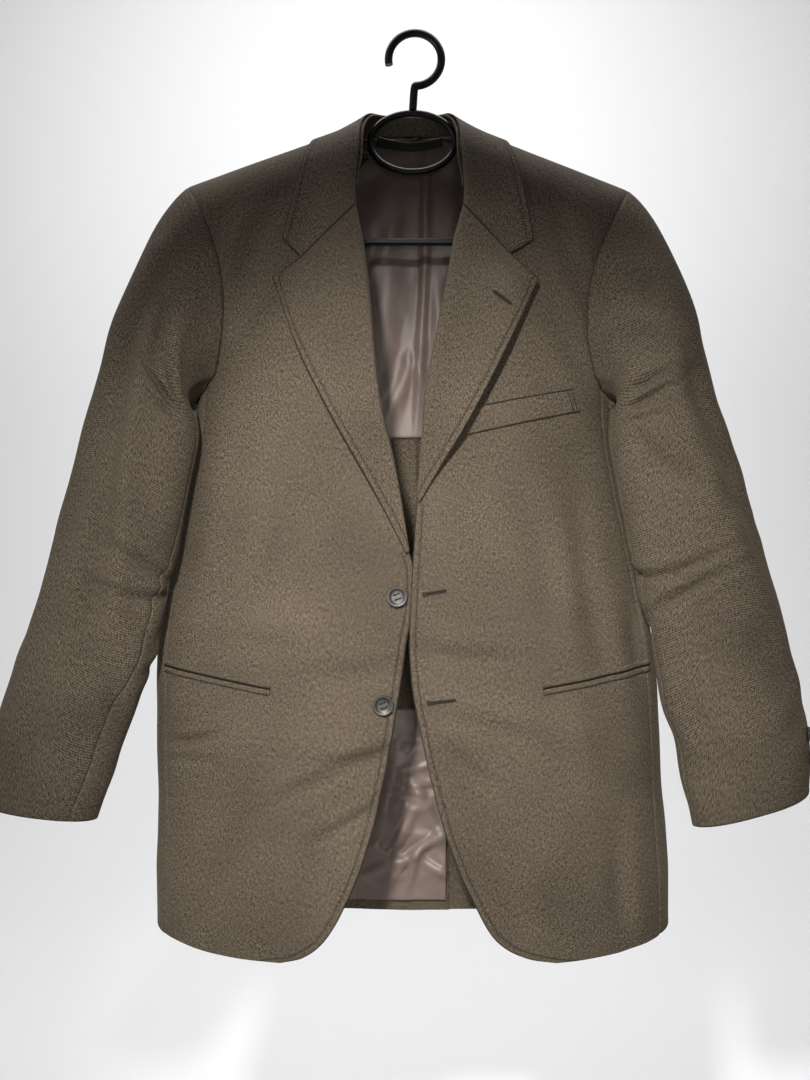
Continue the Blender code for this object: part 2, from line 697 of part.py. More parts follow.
def label_point(across, run):
    """The neck label, a little bowed, on the top of the lining."""
    x = blend(LABEL.right_x, LABEL.left_x, across)
    z = blend(LABEL.low_z, LABEL.high_z, run) + LABEL_BOW * (1 - math.sin(math.pi * across))
    return Vector((x, lining_y(x, z) - LINING_WALL - LABEL_INSET, z))


def patch_point(corners, lift):
    """A function for a piece that lies on a front: upper edge's ends, then lower edge's ends."""
    (x0, z0), (x1, z1), (x2, z2), (x3, z3) = corners

    def point(across, run):
        x = blend(blend(x2, x3, across), blend(x0, x1, across), run)
        z = blend(blend(z2, z3, across), blend(z0, z1, across), run)
        return Vector((x, body_y(x, z, True, lift), z))

    return point


def make_material(name, colour, roughness):
    """A plain material of this colour."""
    material = bpy.data.materials.new(name)
    material.use_nodes = True
    shader = material.node_tree.nodes["Principled BSDF"]
    shader.inputs["Base Color"].default_value = (*colour, 1.0)
    shader.inputs["Roughness"].default_value = roughness
    return material


def add_object(name, data, material):
    """A new object of the blazer's collection, with its material."""
    thing = bpy.data.objects.new(name, data)
    data.materials.append(material)
    bpy.data.collections["blazer"].objects.link(thing)
    return thing


def outward_from_body(point):
    """Away from the middle of the trunk."""
    return Vector((OUTWARD_SIDEWAYS * (point.x - BODY["centre_x"](point.z)), point.y, 0.0))


def outward_from_neck(point):
    """Away from the neck, and up."""
    return Vector((point.x - NECK_CENTRE_X, point.y, OUTWARD_UP))


def outward_from_sleeve(side):
    """A function for the way out from the middle line of a sleeve."""
    armhole_z = ARMHOLE[-2][0]
    cuff_z = SLEEVE_LINES[side]["outer_z"](1.0)

    def outward(point):
        run = min(1.0, max(CAP_SHARE, (point.z - armhole_z) / (cuff_z - armhole_z)))
        middle = (ring_point(side, 0, run) + ring_point(side, 180, run)) / 2
        return Vector((point.x - middle.x, point.y - middle.y, 0.0))

    return outward


def cloth_panel(name, place, columns, rows, material, outward=outward_from_body, wall=WALL):
    """A sheet of cloth: a grid placed by place(across, run), with its wall on the inner side."""
    bm = bmesh.new()
    bmesh.ops.create_grid(bm, x_segments=columns, y_segments=rows, size=0.5)
    for vertex in bm.verts:
        vertex.co = place(vertex.co.x + 0.5, vertex.co.y + 0.5)
    bm.normal_update()
    facing = sum(face.normal.dot(outward(face.calc_center_median())) * face.calc_area() for face in bm.faces)
    if facing < 0:
        bmesh.ops.reverse_faces(bm, faces=bm.faces)
    bmesh.ops.scale(bm, vec=(MM, MM, MM), verts=bm.verts)
    mesh = bpy.data.meshes.new(name)
    bm.to_mesh(mesh)
    bm.free()
    mesh.shade_smooth()
    panel = add_object(name, mesh, material)
    solidify = panel.modifiers.new("wall", "SOLIDIFY")
    solidify.thickness = wall * MM
    solidify.offset = -1.0
    solidify.use_even_offset = False
    return panel


def tube(name, points, wire, material, closed=False):
    """A round bar along the points, with closed ends."""
    curve = bpy.data.curves.new(name, "CURVE")
    curve.dimensions = "3D"
    curve.bevel_depth = wire / 2 * MM
    curve.bevel_resolution = 2
    curve.use_fill_caps = True
    spline = curve.splines.new("POLY")
    spline.points.add(len(points) - 1)
    for target, point in zip(spline.points, points):
        target.co = (*(Vector(point) * MM), 1.0)
    spline.use_cyclic_u = closed
    return add_object(name, curve, material)


def turned_button(name, centre, facing, diameter, material):
    """A rimmed button, turned about its axis, which points along facing."""
    radius = diameter / 2
    profile = ((0.0, 2.2), (0.58, 2.3), (0.8, 3.1), (0.96, 2.7), (1.0, 1.8), (0.85, 0.0), (0.0, 0.0))
    mesh = bpy.data.meshes.new(name)
    bm = bmesh.new()
    corners = [bm.verts.new((share * radius * MM, 0.0, height * MM)) for share, height in profile]
    for a, b in zip(corners, corners[1:]):
        bm.edges.new((a, b))
    bm.to_mesh(mesh)
    bm.free()
    mesh.shade_smooth()
    button = add_object(name, mesh, material)
    screw = button.modifiers.new("turn", "SCREW")
    screw.steps = BUTTON_SIDES
    screw.render_steps = BUTTON_SIDES
    screw.use_merge_vertices = True
    screw.merge_threshold = 0.00001
    button.location = Vector(centre) * MM
    button.rotation_mode = "QUATERNION"
    button.rotation_quaternion = Vector(facing).to_track_quat("Z", "Y")
    return button


def build_fronts(cloth):
    """The two fronts and their lapels."""
    for side in SIGN:
        cloth_panel("front_" + side, lambda c, r, s=side: front_point(s, c, r), 12, PANEL_ROWS, cloth)
        cloth_panel("lapel_" + side, lambda c, r, s=side: lapel_point(s, c, r), 8, 12, cloth)


def build_back(cloth):
    """The two back halves and the side panels."""
    for side in SIGN:
        cloth_panel("back_" + side, lambda c, r, s=side: back_point(s, c, r), 9, PANEL_ROWS, cloth)
        cloth_panel("side_panel_" + side, lambda c, r, s=side: side_point(s, c, r), 6, SIDE_ROWS, cloth)


def sleeve_piece(side, front_first):
    """A function for the top sleeve, or the under sleeve where its first edge is the front seam."""
    seams = SEAM_LINES[side]

    def point(across, run):
        back, front = seams["back_angle"](run), seams["front_angle"](run)
        start, end = (front, back + 360) if front_first else (back, front)
        return sleeve_point(side, blend(start + SLEEVE_SEAM_TRIM, end - SLEEVE_SEAM_TRIM, across), run)

    return point


def build_sleeves(cloth):
    """The two sleeves, each of a top and an under sleeve."""
    for side in SIGN:
        outward = outward_from_sleeve(side)
        cloth_panel("sleeve_top_" + side, sleeve_piece(side, False), 15, SLEEVE_ROWS, cloth, outward)
        cloth_panel("sleeve_under_" + side, sleeve_piece(side, True), 9, SLEEVE_ROWS, cloth, outward)


def build_collar(cloth):
    """The collar's fall and its stand."""
    cloth_panel("collar_fall", collar_point, 8, 34, cloth, outward_from_neck)
    cloth_panel("collar_stand", stand_point, 2, 26, cloth, outward_from_neck)


def build_pockets(cloth):
    """The breast welt, and two jets at each hip pocket."""
    cloth_panel("breast_welt", patch_point(BREAST_WELT, PATCH_LIFT), 8, 2, cloth, wall=WELT_WALL)
    for side in SIGN:
        centre_x, centre_z, rise = HIP_POCKET[side]
        low = -HIP_POCKET_HALF
        high = HIP_POCKET_HALF
        for name, base in (("upper", JET_SLIT / 2), ("lower", -JET_SLIT / 2 - JET_HEIGHT)):
            rows = []
            for height in (base + JET_HEIGHT, base):
                for end in (low, high):
                    rows.append((centre_x + end, centre_z + rise * end / HIP_POCKET_HALF + height))
            cloth_panel(f"jet_{name}_{side}", patch_point(rows, PATCH_LIFT), 10, 1, cloth, wall=JET_WALL)


def build_lining(satin, dark):
    """The two stretches of lining that show inside the back, and the neck label."""
    cloth_panel("lining_upper", lining_point(LINING["upper"]), 10, 12, satin, wall=LINING_WALL)
    cloth_panel("lining_lower", lining_point(LINING["lower"]), 12, 10, satin, wall=LINING_WALL)
    cloth_panel("label", label_point, 6, 1, dark, wall=LABEL_WALL)


def build_buttons(horn):
    """Two buttons on the right front and two on each cuff."""
    for name, (x, z) in FRONT_BUTTONS.items():
        y = body_y(x, z, True)
        turned_button("button_front_" + name, (x, y - FRONT_BUTTON_SINK, z), (0, -1, 0), FRONT_BUTTON, horn)
    for side in SIGN:
        for number, station in enumerate(CUFF_BUTTON_STATIONS, 1):
            angle = CUFF_BUTTON_ANGLE[side]
            centre = sleeve_point(side, angle, station)
            facing = sleeve_point(side, angle, station, 10.0) - centre
            seat = sleeve_point(side, angle, station, CUFF_BUTTON_LIFT)
            turned_button(f"button_cuff_{side}_{number}", seat, facing, CUFF_BUTTON, horn)


def build_hanger(plastic):
    """The hanger: its hook, ring, two arms and bar."""
    hook_centre_z = HOOK_WIRE / 2 - HOOK_RADIUS
    ring_top = RING_CENTRE_Z + RING_HALF_HEIGHT + RING_WIRE / 2
    turns = [math.radians(blend(HOOK_OPEN_ANGLE, -90, i / 24)) for i in range(25)]
    hook = [(HOOK_RADIUS * math.cos(a), 0, hook_centre_z + HOOK_RADIUS * math.sin(a)) for a in turns]
    hook.append((RING_CENTRE_X * 0.5, 0, hook_centre_z - HOOK_RADIUS - 6))
    hook.append((RING_CENTRE_X, 0, ring_top + TOUCH_GAP))
    tube("hanger_hook", hook, HOOK_WIRE, plastic)
    ring = []
    for i in range(32):
        a = math.tau * i / 32
        x = RING_CENTRE_X + RING_HALF_WIDTH * math.cos(a)
        ring.append((x, 0, RING_CENTRE_Z + RING_HALF_HEIGHT * math.sin(a)))
    tube("hanger_ring", ring, RING_WIRE, plastic, closed=True)
    for side, sign in SIGN.items():
        path = []
        for i in range(9):
            x = RING_CENTRE_X + sign * blend(RING_HALF_WIDTH + ARM_ROOT_OUT, ARM_REACH, i / 8)
            under = shoulder_z(x) - WALL - TOUCH_GAP - ARM_WIRE / 2 - ARM_CLEARANCE
            path.append((x, 0, min(ARM_ROOT_Z, under)))
        end_x, _, end_z = path[-1]
        half = (end_z - BAR_Z) / 2
        for i in range(1, 9):
            a = math.radians(90 - 180 * i / 8)
            path.append((end_x + sign * 0.7 * half * math.cos(a), 0, BAR_Z + half + half * math.sin(a)))
        path.append((sign * (BAR_HALF_LENGTH + TOUCH_GAP), 0, BAR_Z))
        tube("hanger_arm_" + side, path, ARM_WIRE, plastic)
    tube("hanger_bar", [(-BAR_HALF_LENGTH, 0, BAR_Z), (0, 0, BAR_Z), (BAR_HALF_LENGTH, 0, BAR_Z)], BAR_WIRE, plastic)


def main():
    """Clears the scene and builds every piece."""
    for thing in list(bpy.data.objects):
        bpy.data.objects.remove(thing, do_unlink=True)
    bpy.context.scene.collection.children.link(bpy.data.collections.new("blazer"))
    cloth = make_material("brown_wool", (0.075, 0.062, 0.045), 0.85)
    satin = make_material("lining_satin", (0.09, 0.07, 0.062), 0.4)
    dark = make_material("label_weave", (0.02, 0.018, 0.018), 0.6)
    horn = make_material("dark_horn", (0.05, 0.045, 0.04), 0.35)
    plastic = make_material("black_plastic", (0.012, 0.012, 0.013), 0.3)
    build_fronts(cloth)
    build_back(cloth)
    build_sleeves(cloth)
    build_collar(cloth)
    build_pockets(cloth)
    build_lining(satin, dark)
    build_buttons(horn)
    build_hanger(plastic)


main()
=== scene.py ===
"""The looks of a man's two-button blazer on its hanger: cloth, lining, buttons, stitching and studio.

Sizes are in millimetres and are turned to metres where a mesh is made. +Z is up and the fronts face -Y.
Left and right are the wearer's, so left is +X. Angles are in degrees where their name doesn't say more.
"""

import logging
import math
from dataclasses import dataclass, replace
from enum import Enum
from functools import partial
from typing import Callable

import bpy
import numpy as np
from mathutils import Matrix, Vector


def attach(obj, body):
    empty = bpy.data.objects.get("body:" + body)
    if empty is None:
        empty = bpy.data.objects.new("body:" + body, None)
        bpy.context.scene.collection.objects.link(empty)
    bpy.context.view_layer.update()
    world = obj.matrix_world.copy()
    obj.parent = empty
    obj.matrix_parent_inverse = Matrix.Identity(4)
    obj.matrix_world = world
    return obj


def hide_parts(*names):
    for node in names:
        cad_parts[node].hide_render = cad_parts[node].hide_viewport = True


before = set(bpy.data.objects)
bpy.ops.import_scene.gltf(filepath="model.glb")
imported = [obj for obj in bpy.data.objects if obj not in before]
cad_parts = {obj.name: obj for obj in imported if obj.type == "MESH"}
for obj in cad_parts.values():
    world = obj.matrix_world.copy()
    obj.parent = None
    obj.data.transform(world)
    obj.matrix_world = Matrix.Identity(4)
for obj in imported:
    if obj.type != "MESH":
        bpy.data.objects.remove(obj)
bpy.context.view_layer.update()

LOG = logging.getLogger("blazer")
MM = 0.001
Array = np.ndarray
Place = Callable[[Array, Array], Array]


class Side(Enum):
    """The wearer's two sides."""

    LEFT = "left"
    RIGHT = "right"

    @property
    def sign(self) -> float:
        """+1 for the wearer's left, which lies toward +X."""
        return 1.0 if self is Side.LEFT else -1.0


def blend(a: Array, b: Array, t: Array) -> Array:
    """Between a and b by the share t."""
    return a + (b - a) * t


def step(low: float, high: float, value: Array) -> Array:
    """0 up to low, 1 from high, and smooth between."""
    t = np.clip((np.asarray(value, float) - low) / (high - low), 0.0, 1.0)
    return t * t * (3 - 2 * t)


def hump(value: Array, reach: float) -> Array:
    """1 at zero, fading to nothing on both sides of it."""
    return np.exp(-((value / reach) ** 2))


def point_at(x: Array, y: Array, z: Array) -> Array:
    """Points from their three coordinates."""
    return np.stack([x, y, z], axis=-1)


def walked(points: Array, axis: int) -> Array:
    """The length walked from the first point to each along one axis of a grid of points."""
    steps = np.linalg.norm(np.diff(points, axis=axis), axis=-1)
    return np.concatenate([np.zeros_like(steps.take([0], axis)), np.cumsum(steps, axis=axis)], axis=axis)


class Curve:
    """A smooth function through a short list of values, straight on past its ends."""

    def __init__(self, keys: tuple, values: tuple) -> None:
        """Takes the rising keys and the value at each.

        Args:
            keys: where the values stand, rising.
            values: the value at each key.
        """
        self.keys = np.array(keys, float)
        self.values = np.array(values, float)
        slopes = np.diff(self.values) / np.diff(self.keys)
        product = slopes[:-1] * slopes[1:]
        total = slopes[:-1] + slopes[1:]
        inner = np.where(product > 0, 2 * product / np.where(product > 0, total, 1.0), 0.0)
        self.tangents = np.concatenate([slopes[:1], inner, slopes[-1:]])

    def __call__(self, key: Array) -> Array:
        """Reads the curve.

        Args:
            key: where to read it.

        Returns:
            The value at each key.
        """
        key = np.asarray(key, float)
        keys, values, tangents = self.keys, self.values, self.tangents
        i = np.clip(np.searchsorted(keys, key) - 1, 0, len(keys) - 2)
        span = keys[i + 1] - keys[i]
        t = (key - keys[i]) / span
        straight = values[i] + (values[i + 1] - values[i]) * t * t * (3 - 2 * t)
        bend = span * t * (1 - t) * ((1 - t) * tangents[i] - t * tangents[i + 1])
        before = values[0] + tangents[0] * (key - keys[0])
        after = values[-1] + tangents[-1] * (key - keys[-1])
        return np.where(key < keys[0], before, np.where(key > keys[-1], after, straight + bend))


def read_table(columns: str, *rows: tuple) -> dict[str, Curve]:
    """The columns of a table by name, each a curve over the first."""
    keys, *rest = zip(*rows)
    return {name: Curve(keys, values) for name, values in zip(columns.split()[1:], rest)}


@dataclass(frozen=True)
class Fold:
    """A soft trough, or a ridge where its depth is negative, with a lower bank along one side."""

    x: float
    z: float
    turn: float
    length: float
    width: float
    depth: float
    bow: float = 0.0
    bank: float = 0.45

    def depth_at(self, x: Array, z: Array) -> Array:
        """Draws the cloth in along the fold.

        Args:
            x: places across.
            z: places up.

        Returns:
            How far the cloth is drawn in at each place.
        """
        angle = math.radians(self.turn)
        along = (x - self.x) * math.cos(angle) + (z - self.z) * math.sin(angle)
        across = (z - self.z) * math.cos(angle) - (x - self.x) * math.sin(angle)
        across = across - self.bow * (2 * along / self.length) ** 2
        bank = hump(2 * (across - 0.8 * self.width), self.width)
        return self.depth * hump(2 * along, self.length) * (hump(2 * across, self.width) - self.bank * bank)


def folds(*rows: tuple, bank: float = 0.45) -> tuple[Fold, ...]:
    """Folds from rows of x, z, turn, length, width, depth and bow."""
    return tuple(Fold(*row, bank=bank) for row in rows)


def drawn(group: tuple, x: Array, z: Array) -> Array:
    """How far a group of folds draws the cloth in."""
    return sum(fold.depth_at(x, z) for fold in group)


# The sizes of the solids
WALL = 1.6
ROUNDNESS = 2.4
SIDE_SEAM_ANGLE = 68.0
SIDE_SEAM_TRIM = 0.06
SHOULDER_ROUND = 48.0
SHOULDER_SPLIT = 0.15
UNDERARM_Z = -362.0
UNDERARM_SCOOP = 15.0
ARM_JOIN_Z = -345.0
VENT_TOP_Z = -672.0
VENT_UNDERLAP = 37.0
VENT_STEP = 2.4
BACK_OVERLAP = 3.5
OVERLAP_STEP = 2.3
NECK_HALF = 89.0
NECK_CENTRE_X = -5.5
ROLL_CLEARANCE = 2.6
GORGE_Z = -186.0
GORGE_SHARE = 0.7
CAP_SHARE = 0.16
CAP_OUTWARD = 34.0
CAP_LIFT = 46.0
UNDERARM_OUTWARD = 38.0
SLEEVE_START_GAP = 0.35
SLEEVE_LENGTH = 640.0
ROUND_ARM = 0.85
SEAM_GAP = 0.12
HEM_CROWDING = 1.6
SHOULDER_ROWS_SHARE = 0.8
COLUMN_TURN = 74.0
STAND_INSET = 2.2
# What the looks add to them
SEAM_DIP = 0.75
SEAM_REACH = 2.6
LAPEL_CURL = {Side.LEFT: 14.0, Side.RIGHT: 7.0}
COLLAR_CURL = 2.2
SLEEVE_CREASE_GAIN = 2.6
EDGE_STITCH = 6.5
# how far the painted shade reaches at the two ends of a lapel's or collar's edge
END_PAINTED_SHADE = 2.6
NO_STITCH = 99.0
MAP_REACH = 20
SETTLE_ROUNDS = 40
SETTLE_SHARE = 0.6

NECK_POINT = {Side.LEFT: 89.3, Side.RIGHT: 96.3}
NECK_POINT_Z = {Side.LEFT: -109.6, Side.RIGHT: -107.5}
SHOULDER_FALL = {Side.LEFT: 0.387, Side.RIGHT: 0.353}
BREAK_Z = {Side.LEFT: -470.0, Side.RIGHT: -521.0}
NOTCH = {Side.LEFT: (90.4, -237.2), Side.RIGHT: (-110.1, -239.6)}
COLLAR_CORNER = {Side.LEFT: (113.2, -222.0), Side.RIGHT: (-128.6, -220.2)}

BODY = read_table(
    "z half_width front_depth back_depth centre_x",
    (-915, 257.7, 85, 54, -2.0), (-843, 257.0, 84, 53, -2.7), (-800, 254.4, 83, 52, -3.2),
    (-730, 253.9, 81, 51, -6.3), (-662, 252.6, 79, 50, -8.0), (-618, 250.0, 78, 50, -9.6),
    (-567, 241.9, 77, 50, -11.0), (-516, 230.7, 78, 50, -10.5), (-459, 218.6, 80, 52, -11.6),
    (-405, 209.0, 82, 52, -12.0), (-345, 206.0, 77, 52, -11.0), (-280, 222.0, 69, 50, -9.0),
    (-220, 258.0, 58, 49, -8.0), (-160, 300.0, 48, 47, -7.0), (-70, 330.0, 41, 44, -6.0),
)
ARM_EDGE = read_table(
    "z left right",
    (-345, 174.0, 194.0), (-310, 166.3, 187.5), (-283, 167.0, 186.0), (-250, 172.0, 188.5),
    (-219, 183.5, 197.0), (-190, 197.0, 208.0), (-152, 218.0, 230.0),
)
EDGE = {
    Side.LEFT: read_table(
        "z x",
        (-909, 130.0), (-905, 107.5), (-896, 86.8), (-882, 71.5), (-852, 54.8), (-819, 39.8), (-784, 27.0),
        (-740, 15.0), (-686, 3.1), (-643, -4.4), (-606, -6.3), (-556, -4.5), (-503, -1.1), (-473, 0.6),
        (-435, 4.1), (-381, 7.2), (-352, 11.6), (-322, 17.6), (-287, 24.4), (-256, 30.4), (-222, 36.3),
        (-186, 46.0),
    )["x"],
    Side.RIGHT: read_table(
        "z x",
        (-909, -126.0), (-905, -107.9), (-892, -90.0), (-873, -76.0), (-860, -69.0), (-824, -53.4),
        (-777, -38.8), (-718, -26.1), (-675, -18.6), (-633, -12.0), (-606, -8.2), (-570, -2.0), (-540, -1.5),
        (-521, -5.7), (-503, -8.6), (-463, -14.8), (-420, -23.4), (-400, -29.0), (-350, -36.5), (-309, -40.2),
        (-281, -42.6), (-227, -49.2), (-186, -57.4),
    )["x"],
}
LAPEL = {
    Side.LEFT: read_table(
        "run roll_z edge_x edge_z",
        (0.0, -470.0, 3.4, -476.0), (0.15, -430.0, 22.0, -444.0), (0.3, -385.0, 44.9, -407.0),
        (0.5, -320.0, 66.7, -367.0), (0.75, -248.0, 91.3, -317.8), (1.0, -186.0, 117.5, -262.0),
    ),
    Side.RIGHT: read_table(
        "run roll_z edge_x edge_z",
        (0.0, -521.0, -9.0, -524.0), (0.15, -478.0, -27.5, -487.0), (0.3, -425.0, -47.0, -451.0),
        (0.55, -335.0, -83.0, -387.0), (0.78, -258.0, -113.5, -325.0), (1.0, -186.0, -136.7, -259.5),
    ),
}
PROFILE = read_table(
    "across share lift",
    (0.0, 0.0, -1.2), (0.125, 0.012, 1.8), (0.25, 0.05, 3.9), (0.375, 0.16, 4.4), (0.5, 0.32, 3.9),
    (0.625, 0.51, 3.3), (0.75, 0.7, 2.8), (0.875, 0.85, 2.5), (1.0, 1.0, 2.4),
)
COLLAR = read_table(
    "run fold_x fold_y fold_z edge_x edge_y edge_z seam_x seam_y seam_z",
    (0.0, 0.0, 38.0, -66.0, 0.0, 50.0, -109.0, 0.0, 35.5, -90.0),
    (0.16, 23.0, 34.5, -66.5, 34.0, 48.0, -109.0, 30.0, 32.0, -92.0),
    (0.32, 37.5, 20.0, -69.5, 70.0, 35.0, -108.0, 54.0, 22.0, -97.0),
    (0.46, 45.5, -6.0, -82.0, 92.0, 6.0, -105.0, 66.0, 2.0, -102.5),
    (0.6, 49.5, -30.0, -104.0, 98.0, -24.0, -118.0, 66.0, -22.0, -112.0),
    (0.74, 50.0, -43.0, -130.0, 106.0, -45.0, -145.0, 61.0, -37.0, -137.0),
    (0.88, 54.0, -50.0, -160.0, 114.0, -56.0, -182.0, 61.0, -45.0, -162.0),
    (1.0, 52.5, -54.0, -186.0, 121.0, -62.0, -221.0, 60.0, -49.0, -181.0),
)
SLEEVE_COLUMNS = "run outer_x outer_z inner_x inner_z centre_y half_depth"
SLEEVE = {
    Side.LEFT: read_table(
        SLEEVE_COLUMNS,
        (0.16, 273.1, -304.0, 188.0, -390.0, -52.0, 42.0), (0.25, 286.6, -363.4, 187.0, -410.0, -52.0, 42.0),
        (0.34, 302.1, -413.6, 195.5, -461.0, -53.0, 41.0), (0.44, 317.6, -466.8, 207.4, -516.1, -53.0, 40.0),
        (0.53, 333.0, -515.1, 217.1, -564.4, -53.0, 40.0), (0.63, 347.5, -565.4, 227.7, -612.8, -53.0, 39.0),
        (0.75, 363.0, -632.1, 239.3, -672.7, -53.0, 37.0), (0.82, 371.7, -664.9, 249.9, -703.6, -53.0, 36.0),
        (0.93, 379.4, -713.3, 260.6, -753.9, -53.0, 34.0), (1.0, 379.5, -752.0, 267.3, -785.8, -53.0, 33.0),
    ),
    Side.RIGHT: read_table(
        SLEEVE_COLUMNS,
        (0.16, 290.4, -301.1, 211.5, -392.0, -50.0, 43.0), (0.25, 303.9, -357.6, 209.2, -411.7, -52.0, 42.0),
        (0.34, 318.4, -405.9, 217.9, -458.1, -53.0, 41.0), (0.44, 334.9, -466.8, 228.9, -520.0, -53.0, 40.0),
        (0.53, 351.3, -518.0, 241.1, -568.3, -53.0, 40.0), (0.63, 368.7, -576.0, 249.8, -616.6, -53.0, 39.0),
        (0.75, 386.1, -628.2, 266.2, -665.0, -53.0, 37.0), (0.82, 397.7, -667.9, 280.7, -698.8, -53.0, 36.0),
        (0.93, 410.3, -713.3, 294.3, -743.3, -53.0, 34.0), (1.0, 420.9, -761.6, 306.8, -779.0, -53.0, 33.0),
    ),
}
SLEEVE_SEAMS = {
    Side.LEFT: read_table(
        "run back front", (0.0, -62.0, 174.0), (0.5, -50.0, 172.0), (0.8, -8.0, 168.0), (1.0, 14.0, 166.0)
    ),
    Side.RIGHT: read_table(
        "run back front",
        (0.0, -62.0, 174.0), (0.35, -54.0, 171.0), (0.52, -51.0, 156.0), (0.8, -40.0, 138.0), (1.0, -34.0, 130.0),
    ),
}
FRONT_HEM = Curve((0, 130, 190, 245), (-909.5, -909.5, -906.0, -897.0))
BACK_HEM = Curve((0, 150, 245), (-903.0, -900.0, -893.0))
SIDE_HEM = Curve((0.0, 0.5, 1.0), (-897.0, -892.0, -893.0))
BACK_NECKLINE = Curve((0, 45, 89), (-91.0, -95.0, -108.5))

# The large folds, which the solids have too
LARGE_FOLDS = folds(
    (-55, -755, 18, 150, 42, 3.0), (-100, -700, 8, 190, 38, -2.2), (60, -650, -14, 150, 42, 2.6),
    (110, -600, -8, 190, 45, -2.0), (-150, -430, 62, 150, 50, 2.6), (150, -430, -66, 150, 50, 2.4),
    (-190, -760, 84, 180, 42, 2.4), (190, -790, -84, 180, 42, 2.4), (30, -850, 74, 120, 45, -2.0),
    (-140, -860, 80, 120, 45, 2.0),
    bank=0.0,
)
# Smaller creases of the fronts
FRONT_CREASES = folds(
    (-48, -716, 14, 90, 15, 1.5, 5), (-80, -735, 20, 120, 18, 1.3, -6), (-58, -776, 32, 80, 14, 1.2, 4),
    (-70, -640, 3, 120, 22, 0.9, 6), (-150, -610, -5, 130, 24, 0.9, -8), (-120, -500, 76, 150, 30, 1.2, 10),
    (-178, -520, 82, 160, 24, 1.2, 5), (-215, -705, 12, 60, 10, 1.9, 3), (-222, -722, 4, 50, 9, 1.4, -2),
    (-160, -790, 70, 170, 34, 1.4, 12), (-100, -850, 82, 130, 30, 1.2, -8), (-150, -310, 50, 120, 24, 1.4, 8),
    (-160, -230, 70, 100, 24, 1.3, -6), (40, -622, -8, 110, 18, 1.2, 6), (75, -690, -18, 130, 20, 1.2, -5),
    (48, -725, -40, 90, 16, 1.0, 5), (120, -520, -74, 150, 30, 1.2, -10), (165, -560, -80, 170, 26, 1.2, 5),
    (215, -610, -84, 120, 20, 1.4, 3), (140, -720, -76, 160, 34, 1.2, 10), (85, -830, -72, 140, 30, 1.3, -8),
    (196, -850, -84, 110, 24, 1.3, 5), (135, -300, -52, 120, 26, 1.6, -8), (150, -240, -68, 100, 22, 1.4, 5),
)
# Creases of the back halves and of the side panels, alike but hidden from the front
BACK_CREASES = folds(
    (-120, -230, 25, 160, 34, 2.2, 10), (110, -240, -30, 170, 32, 2.0, -10), (-150, -350, 52, 160, 30, 2.2, 8),
    (150, -360, -48, 150, 28, 2.4, -8), (-60, -480, 78, 220, 40, 1.8, 12), (70, -500, -80, 240, 40, 1.8, -10),
    (-150, -580, 66, 180, 30, 1.6, -6), (160, -600, -70, 190, 32, 1.8, 8), (-90, -660, 6, 180, 30, 1.4, 5),
    (90, -640, -10, 170, 28, 1.5, -6), (-130, -800, 78, 190, 40, 2.0, 12), (120, -800, -76, 200, 42, 2.0, -10),
    (-30, -790, 84, 160, 30, 1.4, 4),
)
# A sleeve's folds: x is the millimetres round the arm from its outer line, z those down from the armhole
SLEEVE_LARGE_FOLDS = {
    Side.LEFT: folds(
        (102, -128, 40, 120, 32, 4.0), (53, -77, 80, 90, 30, 3.0), (51, -320, 84, 240, 50, -3.0),
        (110, -352, 30, 110, 35, 3.0),
        bank=0.0,
    ),
    Side.RIGHT: folds((34, -230, 82, 320, 40, 10.0), bank=0.4)
    + folds(
        (110, -128, -35, 120, 32, 4.0), (102, -371, -24, 120, 37, 3.0), (60, -480, 80, 160, 42, -2.5), bank=0.0
    ),
}
SLEEVE_CREASES = {
    Side.LEFT: folds(
        (116, -118, 28, 90, 12, 3.0, 6), (122, -150, 12, 80, 11, 2.6, -5), (108, -92, 44, 90, 13, 2.6, 5),
        (84, -60, 62, 80, 16, 2.4, -5), (60, -44, 84, 70, 18, 2.6, 3), (96, -210, 60, 160, 20, 2.0, 8),
        (64, -190, 88, 210, 24, -2.0, 5), (30, -260, 84, 220, 26, 1.8, -8), (120, -322, 10, 90, 14, 2.4, 5),
        (112, -352, -14, 100, 14, 2.0, -5), (86, -400, 70, 160, 24, 1.6, 8), (40, -470, 78, 190, 26, 1.6, -6),
        (110, -520, 80, 140, 20, 1.4, 4), (-60, -240, 70, 200, 30, 2.6, 8), (-90, -330, 20, 110, 22, 2.6, -6),
        (-110, -400, -20, 110, 22, 2.2, 6), (-60, -120, 50, 120, 26, 2.4, 6),
    ),
    Side.RIGHT: folds(
        (118, -120, -26, 90, 13, 3.0, -6), (124, -146, -8, 80, 11, 2.4, 5), (104, -86, -46, 90, 14, 2.4, -5),
        (76, -70, -70, 90, 18, 2.2, 5), (56, -180, -86, 260, 22, 2.6, 6), (72, -330, -84, 240, 24, 2.2, -6),
        (20, -330, -88, 220, 26, -1.8, 5), (120, -310, -12, 90, 14, 2.2, -5), (116, -345, 14, 90, 15, 1.8, 5),
        (96, -400, -66, 150, 22, 1.6, -8), (60, -520, -80, 150, 24, 1.8, 6), (110, -470, -60, 120, 22, 1.4, 5),
        (-60, -240, -70, 200, 30, 2.6, 8), (-90, -340, -20, 110, 22, 2.6, 6), (-110, -410, 20, 110, 22, 2.2, -6),
        (-60, -120, -50, 120, 26, 2.4, -6),
    ),
}
